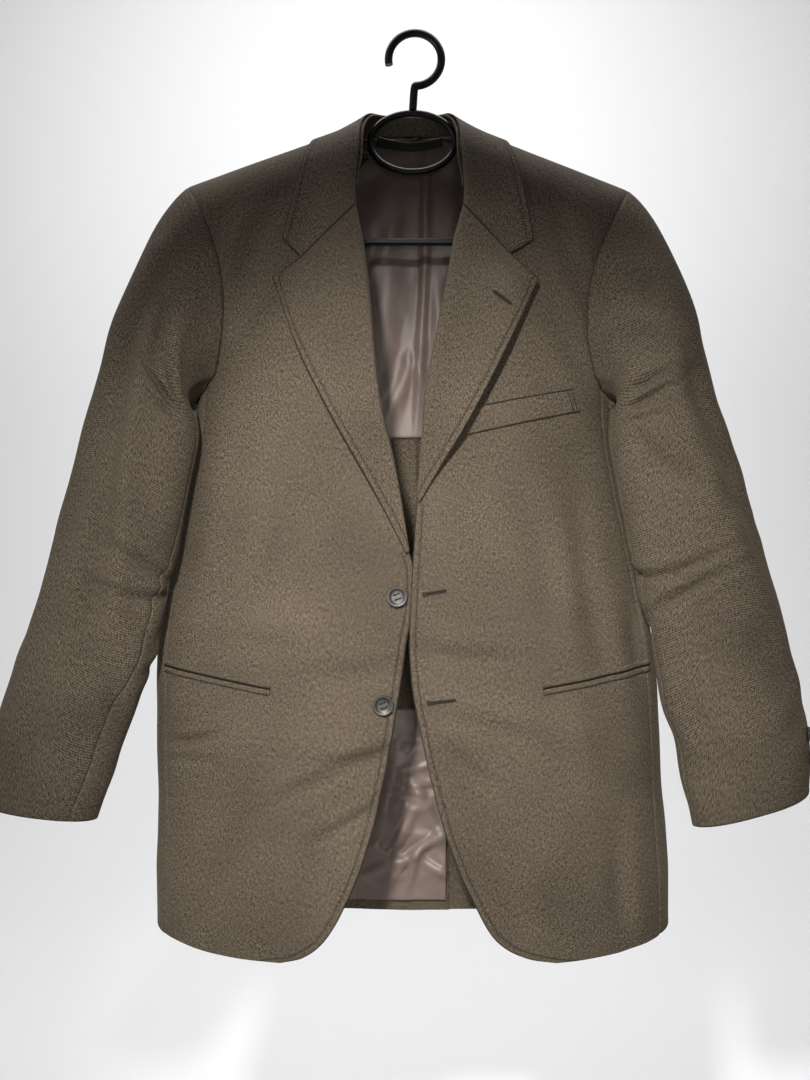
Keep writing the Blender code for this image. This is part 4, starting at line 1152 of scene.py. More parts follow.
@dataclass(frozen=True)
class GrainFinish:
    """A finish of two colours mixed by a fine grain, a broad cloud, or both.

    The grain is drawn out along the cloth's threads where there is a stretch. The bump and the polish follow
    the grain, or the cloud where cloud_led names them.
    """

    name: str
    dark: tuple
    light: tuple
    tone: tuple
    bump: float
    fine: tuple = ()
    stretch: tuple = ()
    broad: tuple = ()
    broad_share: float = 0.0
    polish: tuple = ()
    cloud_led: tuple = ()
    sockets: tuple = ()

    def material(self) -> bpy.types.Material:
        """Builds the material.

        Returns:
            The material.
        """
        g = Graph(bpy.data.materials.new(self.name))
        fine = g.threads(*self.stretch) if self.stretch else g.noise(g.place(), *self.fine)
        broad = tone = fine
        if self.broad:
            broad = g.noise(g.cloth() if self.stretch else g.place(), *self.broad)
            parts = g.math("MULTIPLY", fine, 1 - self.broad_share), g.math("MULTIPLY", broad, self.broad_share)
            tone = g.math("ADD", *parts)
        colour = g.mix(g.range(tone, *self.tone, 0.0, 1.0), self.dark, self.light)
        normal = g.bump(broad if "bump" in self.cloud_led else fine, self.bump)
        linked = {"Base Color": colour, "Normal": normal}
        if self.polish:
            linked["Roughness"] = g.range(broad if "polish" in self.cloud_led else fine, 0.3, 0.7, *self.polish)
        return g.finish({**linked, **dict(self.sockets)})


SATIN = GrainFinish(
    "lining_satin", (0.104, 0.078, 0.067), (0.178, 0.135, 0.115), (0.3, 0.7), 0.2,
    stretch=(2600.0, 120.0), broad=(26.0, 3.0, 0.55), broad_share=0.5, polish=(0.40, 0.50),
    sockets=(
        ("Sheen Weight", 0.12), ("Sheen Roughness", 0.4), ("Sheen Tint", (0.85, 0.72, 0.68)),
        ("Specular IOR Level", 0.34),
    ),
)
LABEL = GrainFinish(
    "label_weave", (0.005, 0.0045, 0.0045), (0.016, 0.014, 0.013), (0.35, 0.7), 0.3,
    stretch=(300.0, 2600.0), sockets=(("Roughness", 0.55), ("Sheen Weight", 0.1)),
)
HORN = GrainFinish(
    "dark_horn", (0.009, 0.008, 0.007), (0.034, 0.030, 0.026), (0.38, 0.66), 0.1,
    fine=(700.0, 2.0, 0.5), broad=(120.0, 4.0, 0.6), broad_share=0.75, polish=(0.36, 0.52), cloud_led=("bump",),
    sockets=(("Coat Weight", 0.12), ("Coat Roughness", 0.3)),
)
PLASTIC = GrainFinish(
    "black_plastic", (0.004, 0.004, 0.0045), (0.012, 0.012, 0.013), (0.5, 0.8), 0.12,
    fine=(900.0, 2.0, 0.5), broad=(60.0, 4.0, 0.6), broad_share=1.0, polish=(0.30, 0.46), cloud_led=("polish",),
    sockets=(("Specular IOR Level", 0.34),),
)
THREAD = GrainFinish(
    "sewing_thread", (0.010, 0.008, 0.006), (0.032, 0.025, 0.018), (0.35, 0.65), 0.4,
    fine=(2400.0, 2.0, 0.6), sockets=(("Roughness", 0.85), ("Specular IOR Level", 0.2)),
)
# very dark: the thread of the welt's end stitches, and painted shade for the sheets in the pocket mouths
POCKET_THREAD_AND_SHADE = replace(THREAD, name="welt_thread_and_pocket_shade", dark=(0.004, 0.003, 0.003), light=(0.012, 0.009, 0.008))


def clear_selection() -> None:
    """Deselects everything, so that an operator acts on new work alone."""
    for thing in bpy.context.selected_objects:
        thing.select_set(False)


def finish_piece(piece: bpy.types.Object, material: bpy.types.Material, stands_for: str = "") -> None:
    """Gives a piece its one finish and lets it ride on the body.

    Args:
        piece: the new object.
        material: its finish.
        stands_for: the solid that it stands for, if any.
    """
    piece.data.materials.clear()
    piece.data.materials.append(material)
    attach(piece, "root")
    if stands_for:
        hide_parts(stands_for)
    LOG.info("%s: %d faces", piece.name, len(piece.data.polygons))


@dataclass(frozen=True)
class Cut:
    """The flat cut of a piece of cloth, in metres, and how it is held."""

    width: float
    length: float
    area: float | None = None
    held: str = "folded"


@dataclass
class Sheet:
    """A sheet of cloth: a fine grid laid by a function, with a wall on its inner side.

    It stands for the solid of its own name, apart from a loose one, which is in the scene alone.
    """

    name: str
    place: Place
    grid: tuple[int, int]
    cut: Cut
    outward: Callable[[Array], Array]
    wall: float = WALL
    stitch_and_shade: Callable[[Array], tuple[Array, Array]] | None = None
    loose: bool = False

    def dress(self, material: bpy.types.Material) -> None:
        """Args:
            material: its finish.
        """
        piece = self._build()
        finish_piece(piece, material, "" if self.loose else self.name)

    def _build(self) -> bpy.types.Object:
        """Makes the mesh, its cloth map and its wall.

        Returns:
            The new object.
        """
        clear_selection()
        columns, rows = self.grid
        bpy.ops.mesh.primitive_grid_add(x_subdivisions=columns, y_subdivisions=rows, size=1.0)
        piece = bpy.context.object
        piece.name = self.name + ("" if self.loose else "_cloth")
        mesh = piece.data
        mesh.name = piece.name
        flat = self._read(mesh.vertices, "co").reshape(rows + 1, columns + 1, 3).astype(float)
        points = self.place(flat[..., 0] + 0.5, flat[..., 1] + 0.5)
        mesh.vertices.foreach_set("co", (points * MM).astype(np.float32).ravel())
        mesh.update()
        normals, centres = self._read(mesh.polygons, "normal"), self._read(mesh.polygons, "center") / MM
        if (normals * self.outward(centres)).sum() < 0:
            mesh.flip_normals()
        self._map(mesh, points)
        if self.stitch_and_shade is not None:
            for name, values in zip(("edge_mm", "run_mm"), self.stitch_and_shade(points)):
                layer = mesh.attributes.new(name, "FLOAT", "POINT")
                layer.data.foreach_set("value", values.astype(np.float32).ravel())
        mesh.shade_smooth()
        solidify = piece.modifiers.new("wall", "SOLIDIFY")
        solidify.thickness = self.wall * MM
        solidify.offset = -1.0
        solidify.use_even_offset = False
        bpy.ops.object.modifier_apply(modifier=solidify.name)
        return piece

    @staticmethod
    def _read(things: object, name: str) -> Array:
        """Reads a vector of each vertex or face.

        Args:
            things: the vertices or faces.
            name: the vector's name.

        Returns:
            A row for each.
        """
        values = np.empty(len(things) * 3, np.float32)
        things.foreach_get(name, values)
        return values.reshape(-1, 3)

    @staticmethod
    def _map(mesh: bpy.types.Mesh, points: Array) -> None:
        """Lays the cloth out flat, in metres, by the lengths along its rows and columns.

        Args:
            mesh: the grid.
            points: its points, in rows.
        """
        u, v = walked(points, 1), walked(points, 0)
        middle = points.shape[1] // 2
        u = even_out(u - u[:, middle : middle + 1])
        uv = (np.stack([u, even_out(v.T).T], axis=-1) * MM).reshape(-1, 2)
        while mesh.uv_layers:
            mesh.uv_layers.remove(mesh.uv_layers[0])
        layer = mesh.uv_layers.new(name="cloth")
        corners = np.empty(len(mesh.loops), np.int32)
        mesh.loops.foreach_get("vertex_index", corners)
        layer.data.foreach_set("uv", uv[corners].astype(np.float32).ravel())


def outward_from_body(centres: Array) -> Array:
    """Away from the middle of the trunk."""
    across = 0.4 * (centres[:, 0] - BODY["centre_x"](centres[:, 2]))
    return point_at(across, centres[:, 1], np.zeros_like(across))


def outward_from_sleeve(side: Side, centres: Array) -> Array:
    """The way out from the middle line of a sleeve.

    Args:
        side: which sleeve.
        centres: places on it.

    Returns:
        The way out at each place.
    """
    lines = SLEEVE[side]
    run = np.clip((centres[:, 2] + 200) / (lines["outer_z"](1.0) + 200), CAP_SHARE, 1.0)
    across = centres[:, 0] - side.sign * (lines["outer_x"](run) + lines["inner_x"](run)) / 2
    return point_at(across, centres[:, 1] - lines["centre_y"](run), np.zeros_like(across))


def outward_from_neck(centres: Array) -> Array:
    """Away from the neck, and up."""
    return point_at(centres[:, 0] - NECK_CENTRE_X, centres[:, 1], np.full(len(centres), 40.0))


def inner_edge_stitch_and_shade(points: Array) -> tuple[Array, Array]:
    """A front's line of stitches and painted shade along its edge, which both end where the lapel rolls.

    Args:
        points: the front's points, in rows.

    Returns:
        Distances from its edge, and along it.
    """
    edge = points[:, 0, :]
    tangent = np.gradient(edge, axis=0)
    slope = np.abs(tangent[:, 2]) / np.maximum(1e-6, np.linalg.norm(tangent, axis=1))
    distance = walked(points, 1) * np.maximum(0.3, slope)[:, None]
    side = Side.LEFT if points[0, 0, 0] > 0 else Side.RIGHT
    distance = np.where(points[:, :, 2] > BREAK_Z[side], NO_STITCH, distance)
    return distance, np.broadcast_to(walked(edge, 0)[:, None], distance.shape)


def outer_edge_stitch_and_shade(points: Array) -> tuple[Array, Array]:
    """A lapel's or collar's line of stitches and painted shade along its outer edge, and painted shade at its two ends.

    Args:
        points: its points, in rows.

    Returns:
        Distances from its edge, and along it.
    """
    from_edge = walked(points[:, ::-1], 1)[:, ::-1]
    length = walked(points, 0)
    from_end = np.minimum(length, length[-1] - length)
    from_edge = np.minimum(from_edge, np.where(from_end < END_PAINTED_SHADE, from_end, NO_STITCH))
    return from_edge, np.broadcast_to(walked(points[:, -1, :], 0)[:, None], from_edge.shape)


def tube_mesh(name: str, points: Array, wire: float, closed: bool = False) -> bpy.types.Object:
    """A round bar along the points, made a mesh.

    Args:
        name: the new object's name.
        points: its middle line.
        wire: its diameter.
        closed: whether it is a ring.

    Returns:
        The new mesh object.
    """
    clear_selection()
    curve = bpy.data.curves.new(name, "CURVE")
    curve.dimensions = "3D"
    curve.bevel_depth = wire / 2 * MM
    curve.bevel_resolution = 6
    curve.resolution_u = 6
    curve.use_fill_caps = True
    spline = curve.splines.new("NURBS")
    spline.points.add(len(points) - 1)
    for target, point in zip(spline.points, points):
        target.co = (*(Vector([float(c) for c in point]) * MM), 1.0)
    spline.use_cyclic_u = closed
    spline.order_u = 3
    spline.use_endpoint_u = not closed
    bar = bpy.data.objects.new(name, curve)
    bpy.context.scene.collection.objects.link(bar)
    bar.select_set(True)
    bpy.context.view_layer.objects.active = bar
    bpy.ops.object.convert(target="MESH")
    bar = bpy.context.object
    bpy.ops.object.mode_set(mode="EDIT")
    bpy.ops.mesh.select_all(action="SELECT")
    bpy.ops.mesh.remove_doubles(threshold=0.000001)
    bpy.ops.mesh.normals_make_consistent(inside=False)
    bpy.ops.object.mode_set(mode="OBJECT")
    bpy.ops.object.shade_smooth_by_angle(angle=math.radians(50))
    return bar


@dataclass
class Panels:
    """The trunk's cloth: fronts, side panels and back halves."""

    wool: bpy.types.Material
    stitched_and_shaded: bpy.types.Material
    front_cut: Cut = Cut(0.30, 0.83, 0.20, "hung")
    side_cut: Cut = Cut(0.09, 0.54, 0.046, "hung")
    back_cut: Cut = Cut(0.29, 0.84, 0.20, "hung")

    def build(self) -> None:
        """Builds and dresses the six panels."""
        kinds = (
            ("front", lay_front, (104, 190), self.front_cut, self.stitched_and_shaded, inner_edge_stitch_and_shade),
            ("side_panel", lay_side, (26, 100), self.side_cut, self.wool, None),
            ("back", lay_back, (72, 150), self.back_cut, self.wool, None),
        )
        for side in Side:
            for kind, lay, grid, cut, material, stitch_and_shade in kinds:
                place = partial(lay, side)
                sheet = Sheet(f"{kind}_{side.value}", place, grid, cut, outward_from_body, stitch_and_shade=stitch_and_shade)
                sheet.dress(material)


@dataclass
class SleevePair:
    """Both sleeves, each of a top and an under sleeve."""

    wool: bpy.types.Material
    top_cut: Cut = Cut(0.24, 0.66, 0.125, "hung")
    under_cut: Cut = Cut(0.16, 0.56, 0.075, "hung")

    def build(self) -> None:
        """Builds and dresses the four sleeve pieces."""
        for side in Side:
            for kind, columns, cut in (("top", 88, self.top_cut), ("under", 52, self.under_cut)):
                place = partial(lay_sleeve, side, kind == "top")
                outward = partial(outward_from_sleeve, side)
                Sheet(f"sleeve_{kind}_{side.value}", place, (columns, 170), cut, outward).dress(self.wool)


@dataclass
class Collar:
    """The collar's fall and stand, and both lapels."""

    wool: bpy.types.Material
    stitched_and_shaded: bpy.types.Material
    fall_cut: Cut = Cut(0.075, 0.47, 0.026)
    stand_cut: Cut = Cut(0.03, 0.30, 0.0075)
    lapel_cut: Cut = Cut(0.11, 0.35, 0.018)

    def build(self) -> None:
        """Builds and dresses the collar and the lapels."""
        neck, edged = outward_from_neck, outer_edge_stitch_and_shade
        Sheet("collar_fall", lay_collar, (48, 220), self.fall_cut, neck, stitch_and_shade=edged).dress(self.stitched_and_shaded)
        Sheet("collar_stand", lay_stand, (12, 120), self.stand_cut, neck).dress(self.wool)
        for side in Side:
            place = partial(lay_lapel, side)
            lapel = Sheet("lapel_" + side.value, place, (54, 130), self.lapel_cut, outward_from_body, stitch_and_shade=edged)
            lapel.dress(self.stitched_and_shaded)


@dataclass
class Pockets:
    """The breast welt with its end stitches, the hip pockets' jets, and a sheet of painted shade in each pocket's
    mouth.
    """

    wool: bpy.types.Material
    # mouth: the material of the welt's end stitches and of the painted shade in the pocket mouths
    mouth: bpy.types.Material
    welt_corners: tuple = ((54.0, -386.2), (152.0, -366.0), (42.0, -412.5), (158.5, -386.0))
    breast_mouth: tuple = ((66.0, -382.2), (152.5, -364.4), (66.0, -386.0), (152.5, -368.2))
    welt_cut: Cut = Cut(0.118, 0.027)
    jet_cut: Cut = Cut(0.112, 0.012, 0.00072)
    mouth_cut: Cut = Cut(0.11, 0.0105, 0.0005)
    welt_lift: float = 2.3
    welt_crown: float = 0.7
    welt_wall: float = 1.4
    stitch_lines: tuple = (("outer", 0.975), ("inner", 0.942))
    stitch_out: float = 0.75
    stitch_wire: float = 0.7
    half_length: float = 54.0
    jet_height: float = 5.2
    jet_lift: float = 1.7
    jet_crown: float = 1.3
    jet_wall: float = 1.2
    slit: float = 1.6
    mouth_past_jets: float = 0.4
    mouth_half: float = 2.6
    mouth_lift: float = 0.55
    mouth_wall: float = 0.4
    centres: tuple = ((Side.LEFT, 175.5, -642.5, 9.5), (Side.RIGHT, -192.5, -642.5, -9.4))

    def build(self) -> None:
        """Builds and dresses the welt, its stitches, the four jets and the three sheets of painted shade in the mouths.
        """
        welt = partial(lay_patch, self.welt_corners, self.welt_lift, self.welt_crown)
        Sheet("breast_welt", welt, (70, 20), self.welt_cut, outward_from_body, self.welt_wall).dress(self.wool)
        run = np.linspace(0.1, 0.93, 9)
        for line, across in self.stitch_lines:
            path = welt(np.full_like(run, across), run) - np.array([0.0, self.stitch_out, 0.0])
            finish_piece(tube_mesh("breast_welt_stitch_" + line, path, self.stitch_wire), self.mouth)
        self._mouth("breast", self.breast_mouth)
        for side, *centre in self.centres:
            for name, base in (("upper", self.slit / 2), ("lower", -self.slit / 2 - self.jet_height)):
                corners = self._strip(centre, self.half_length, base + self.jet_height, base)
                place = partial(lay_patch, corners, self.jet_lift, self.jet_crown)
                node = f"jet_{name}_{side.value}"
                Sheet(node, place, (80, 8), self.jet_cut, outward_from_body, self.jet_wall).dress(self.wool)
            half_length = self.half_length + self.mouth_past_jets
            self._mouth(side.value, self._strip(centre, half_length, self.mouth_half, -self.mouth_half))

    @staticmethod
    def _strip(centre: tuple, half_length: float, top: float, bottom: float) -> tuple:
        """The corners of a strip along a hip pocket.

        Args:
            centre: X and Z of the pocket's middle, and how far its left end stands above that.
            half_length: half the strip's length.
            top: its upper edge's height over the middle.
            bottom: its lower edge's.

        Returns:
            X and Z of each corner.
        """
        x, z, rise = centre
        return tuple((x + end * half_length, z + end * rise + edge) for edge in (top, bottom) for end in (-1, 1))

    def _mouth(self, name: str, corners: tuple) -> None:
        """Lays a dark sheet of painted shade along a pocket's mouth, where its shaded inside would show.

        Args:
            name: the pocket's name.
            corners: the mouth's corners.
        """
        # the sheet lies just over the cloth and carries painted shade, not a cloth of its own
        place = partial(lay_patch, corners, self.mouth_lift, 0.0)
        name, wall = "pocket_mouth_painted_shade_" + name, self.mouth_wall
        Sheet(name, place, (60, 4), self.mouth_cut, outward_from_body, wall, loose=True).dress(self.mouth)


@dataclass
class Lining:
    """The satin that shows inside the back and at its hem, and the bare neck label."""

    satin: bpy.types.Material
    weave: bpy.types.Material
    upper_cut: Cut = Cut(0.23, 0.32, 0.07, "hung")
    lower_cut: Cut = Cut(0.19, 0.21, 0.038, "hung")
    label_cut: Cut = Cut(0.07, 0.0105, 0.00055, "laid")
    wall: float = 1.0

    def build(self) -> None:
        """Builds and dresses the two linings and the label."""
        upper = partial(lay_lining, (-402.5, -92.0), (-115, 105), UPPER_LINING_CREASES)
        lower = partial(lay_lining, (-891.0, -689.0), (-150, 33), LOWER_LINING_CREASES)
        out, wall = outward_from_body, self.wall
        Sheet("lining_upper", upper, (96, 120), self.upper_cut, out, wall).dress(self.satin)
        Sheet("lining_lower", lower, (96, 110), self.lower_cut, out, wall).dress(self.satin)
        Sheet("label", lay_label, (40, 6), self.label_cut, out, wall).dress(self.weave)


HALF_TURN = Matrix.Diagonal((-1.0, -1.0, 1.0, 1.0))


@dataclass
class Buttons:
    """Four-hole buttons on the right front and two on each cuff, turned to one profile.

    The profile's rows are a share of the radius and a height over the seat.
    """

    horn: bpy.types.Material
    thread: bpy.types.Material
    front_size: float = 20.0
    cuff_size: float = 15.0
    front_sink: float = 0.8
    front_facing: tuple = (0.02, -1, 0.03)
    front_spin: float = 20
    cuff_out: float = 2.0
    cuff_spin: float = 35
    fronts: tuple = (("upper", -17.6, -563.8), ("lower", -30.7, -666.0))
    stations: tuple = (0.885, 0.935)
    angles: tuple = ((Side.LEFT, 27.0), (Side.RIGHT, -24.0))
    sides: int = 64
    hole_out: float = 0.17
    hole_radius: float = 0.052
    thread_reach: float = 0.12
    thread_wire: float = 0.55
    thread_lanes: tuple = (-0.35, 0.0, 0.35)
    profile: tuple = (
        (0.5, 1.7), (0.62, 1.9), (0.72, 2.6), (0.82, 3.0), (0.91, 2.95),
        (0.98, 2.4), (1.0, 1.7), (0.96, 1.0), (0.8, 0.3), (0.6, 0.0),
    )

    def build(self) -> None:
        """Builds a button of each size and sets its copies in place."""
        front = self._master("front_button_form", self.front_size)
        cuff = self._master("cuff_button_form", self.cuff_size)
        for name, x, z in self.fronts:
            y = float(FORM.y(np.array(x), np.array(z), True))
            seat = (x, y - self.front_sink, z)
            self._set(front, "button_front_" + name, seat, self.front_facing, self.front_spin)
        for side, angle in self.angles:
            for number, station in enumerate(self.stations, 1):
                point = partial(SLEEVES[side].point, np.array(angle), np.array(station))
                facing = point(np.array(10.0)) - point()
                seat = point(np.array(self.cuff_out))
                self._set(cuff, f"button_cuff_{side.value}_{number}", seat, facing, self.cuff_spin * number)
        for thing in front + cuff:
            bpy.data.objects.remove(thing, do_unlink=True)

    def _master(self, name: str, size: float) -> tuple[bpy.types.Object, bpy.types.Object]:
        """Makes one button and its thread, at the origin and facing up.

        Args:
            name: the button's name.
            size: its diameter.

        Returns:
            The button and its thread.
        """
        clear_selection()
        bpy.ops.mesh.primitive_cylinder_add(vertices=self.sides, radius=size / 2 * MM, depth=0.002)
        button = bpy.context.object
        button.name = name
        self._turn(button, size / 2)
        for turn in range(4):
            self._drill(button, size, math.radians(45 + 90 * turn))
        bpy.ops.object.shade_smooth_by_angle(angle=math.radians(35))
        reach = self.thread_reach * size
        across = ((-reach, 0.6), (-reach * 0.9, 1.9), (0, 2.3), (reach * 0.9, 1.9), (reach, 0.6))
        threads = [
            tube_mesh(name + "_thread", [(x, offset * reach + lane, z) for x, z in across], self.thread_wire)
            for offset in (-1, 1)
            for lane in self.thread_lanes
        ]
        clear_selection()
        for thing in threads:
            thing.select_set(True)
        bpy.context.view_layer.objects.active = threads[0]
        bpy.ops.object.join()
        return button, bpy.context.object

    def _turn(self, button: bpy.types.Object, radius: float) -> None:
        """Turns a disc to the profile.

        Args:
            button: the disc.
            radius: the button's radius.
        """
        sides = self.sides
        points = [
            (share * radius * math.cos(turn) * MM, share * radius * math.sin(turn) * MM, height * MM)
            for share, height in self.profile
            for turn in (math.tau * i / sides for i in range(sides))
        ]
        last = len(points) - sides
        faces = [
            (low + i, low + sides + i, low + sides + (i + 1) % sides, low + (i + 1) % sides)
            for low in range(0, last, sides)
            for i in range(sides)
        ]
        faces += [tuple(range(sides)), tuple(reversed(range(last, len(points))))]
        button.data.clear_geometry()
        button.data.from_pydata(points, [], faces)
        button.data.update()

    def _drill(self, button: bpy.types.Object, size: float, turn: float) -> None:
        """Cuts one thread hole.

        Args:
            button: the button.
            size: its diameter.
            turn: the hole's angle round it, in radians.
        """
        out = self.hole_out * size
        place = (out * math.cos(turn) * MM, out * math.sin(turn) * MM, 0.001)
        clear_selection()
        radius = self.hole_radius * size * MM
        bpy.ops.mesh.primitive_cylinder_add(vertices=20, radius=radius, depth=0.012, location=place)
        hole = bpy.context.object
        clear_selection()
        button.select_set(True)
        bpy.context.view_layer.objects.active = button
        cut = button.modifiers.new("hole", "BOOLEAN")
        cut.object = hole
        bpy.ops.object.modifier_apply(modifier=cut.name)
        bpy.data.objects.remove(hole, do_unlink=True)

    def _set(self, master: tuple, name: str, seat: Array, facing: Array, spin: float) -> None:
        """Sets a copy of a button and its thread on its seat.

        Args:
            master: the button and its thread at the origin.
            name: the solid that the button stands for.
            seat: where it sits.
            facing: the way it looks.
            spin: its turn about that way.
        """
        turn = Vector([float(c) for c in facing]).to_track_quat("Z", "Y").to_matrix().to_4x4()
        turn = turn @ HALF_TURN @ Matrix.Rotation(math.radians(spin), 4, "Z")
        turn.translation = Vector([float(c) for c in seat]) * MM
        for source, tail, material, node in zip(master, ("_horn", "_thread"), (self.horn, self.thread), (name, "")):
            piece = bpy.data.objects.new(name + tail, source.data.copy())
            bpy.context.scene.collection.objects.link(piece)
            piece.data.transform(turn)
            finish_piece(piece, material, node)


@dataclass
class Buttonholes:
    """Buttonholes worked in thread: two keyholes in the left front and one plain in the left lapel."""

    thread: bpy.types.Material
    loop_points: int = 72
    thread_wire: float = 1.5
    thread_out: float = 0.35
    thread_twist: float = 0.12
    slit_wire: float = 0.8
    slit_out: float = 0.02
    half_width: float = 0.9
    eyelet_gain: float = 1.1
    eyelet_middle: float = 1.6
    eyelet_reach: float = 1.9

    def build(self) -> None:
        """Builds each buttonhole as a raised loop of thread round its slit."""
        self._work("buttonhole_upper", (7.0, -562.0), (28.5, -558.0), self._on_front, True)
        self._work("buttonhole_lower", (11.0, -664.0), (37.0, -661.0), self._on_front, True)
        self._work("buttonhole_lapel", (73.5, -275.0), (89.5, -288.0), self._on_lapel, False)

    @staticmethod
    def _on_front(x: Array, z: Array) -> Array:
        """Y of the left front's outer side."""
        return FORM.y(x, z, True) - FORM.front_lap(x, z)

    @staticmethod
    def _on_lapel(x: Array, z: Array) -> Array:
        """Finds the left lapel's outer side from its nearest laid points.

        Args:
            x: places across.
            z: heights.

        Returns:
            Y at each place.
        """
        across, run = np.meshgrid(np.linspace(0.4, 1.0, 90), np.linspace(0.4, 0.98, 160))
        laid = lay_lapel(Side.LEFT, across, run).reshape(-1, 3)
        away = (x[:, None] - laid[:, 0]) ** 2 + (z[:, None] - laid[:, 2]) ** 2
        share = 1 / (away + 0.2) ** 3
        return (share * laid[:, 1]).sum(axis=1) / share.sum(axis=1) - 0.3

    def _work(self, name: str, eye: tuple, tail: tuple, surface: Place, keyed: bool) -> None:
        """Lays the thread round the slit, and the slit's own dark line.

        Args:
            name: the loop's name.
            eye: X and Z of its end near the edge.
            tail: X and Z of its other end.
            surface: the function that gives the cloth's Y.
            keyed: whether there is an eyelet at the first end.
        """
        start, way = np.array(eye), np.array(tail) - np.array(eye)
        length = np.linalg.norm(way)
        along = way / length
        over = np.array([-along[1], along[0]])
        count = np.arange(self.loop_points)
        turn = math.tau * count / self.loop_points
        reach = (0.5 - 0.5 * np.cos(turn)) * length
        half = self.half_width * np.copysign(np.minimum(1.0, np.abs(np.sin(turn)) * 3), np.sin(turn))
        if keyed:
            half = half * (1 + self.eyelet_gain * hump(reach - self.eyelet_middle, self.eyelet_reach))
        loop = start + along * reach[:, None] + over * half[:, None]
        twist = self.thread_out + self.thread_twist * np.sin(count * 2.4)
        slit = start + along * length * np.linspace(0.02, 0.98, 16)[:, None]
        lines = (("", loop.T, twist, self.thread_wire), ("_slit", slit.T, self.slit_out, self.slit_wire))
        for kind, (x, z), out, wire in lines:
            path = point_at(x, surface(x, z) - out, z)
            finish_piece(tube_mesh(name + kind, path, wire, closed=not kind), self.thread)


def arc(centre: tuple, half: tuple, degrees: Array) -> Array:
    """Points of an ellipse in the hanger's plane.

    Args:
        centre: X and Z of its middle.
        half: its half width and half height.
        degrees: angles from +X toward +Z.

    Returns:
        The points.
    """
    turn = np.radians(degrees)
    return point_at(centre[0] + half[0] * np.cos(turn), np.zeros_like(turn), centre[1] + half[1] * np.sin(turn))


@dataclass
class Hanger:
    """The moulded hanger: hook, ring, arms and bar."""

    plastic: bpy.types.Material
    hook_radius: float = 26.8
    hook_wire: float = 8.0
    hook_tip: float = 192.0
    ring_centre: tuple = (-2.2, -107.1)
    ring_half: tuple = (43.2, 29.7)
    ring_wire: float = 6.5
    arm_wire: float = 8.0
    arm_reach: float = 186.0
    arm_root_z: float = -121.0
    arm_root_out: float = 1.52
    shoulder_gap: float = 1.3
    bend_share: float = 0.7
    bar_z: float = -208.0
    bar_half: float = 150.0
    bar_wire: float = 7.5

    def build(self) -> None:
        """Builds and dresses the hanger's five pieces."""
        radius = self.hook_radius
        hook_z = self.hook_wire / 2 - radius
        ring_x, ring_z = self.ring_centre
        neck = (
            (-0.6, 0, hook_z - radius - 3), (ring_x * 0.5, 0, hook_z - radius - 7),
            (ring_x, 0, ring_z + self.ring_half[1] + self.ring_wire / 2),
        )
        hook = arc((0.0, hook_z), (radius, radius), np.linspace(self.hook_tip, -90.0, 61))
        self._bar("hanger_hook", [*hook, *neck], self.hook_wire)
        self._bar("hanger_ring", arc(self.ring_centre, self.ring_half, np.arange(96) * 3.75), self.ring_wire, True)
        for side in Side:
            self._arm(side)
        bar = [(x, 0, self.bar_z) for x in np.linspace(-self.bar_half, self.bar_half, 12)]
        self._bar("hanger_bar", bar, self.bar_wire)

    def _arm(self, side: Side) -> None:
        """Builds an arm: out from the ring, along under the shoulder, and round to the bar.

        Args:
            side: which arm.
        """
        out = blend(self.ring_half[0] + self.arm_root_out, self.arm_reach, np.arange(25) / 24)
        x = self.ring_centre[0] + side.sign * out
        z = np.minimum(self.arm_root_z, FORM.shoulder_z(x) - WALL - self.shoulder_gap - self.arm_wire / 2)
        half = (z[-1] - self.bar_z) / 2
        turn_size = (side.sign * self.bend_share * half, half)
        turn = arc((x[-1], self.bar_z + half), turn_size, 90 - 180 * np.arange(1, 17) / 16)
        end = (side.sign * self.bar_half, 0, self.bar_z)
        path = [*point_at(x, np.zeros_like(x), z), *turn, end]
        self._bar("hanger_arm_" + side.value, path, self.arm_wire)

    def _bar(self, node: str, path: Array, wire: float, closed: bool = False) -> None:
        """Builds one bar and lets it stand for its solid."""
        finish_piece(tube_mesh(node + "_plastic", path, wire, closed), self.plastic, node)


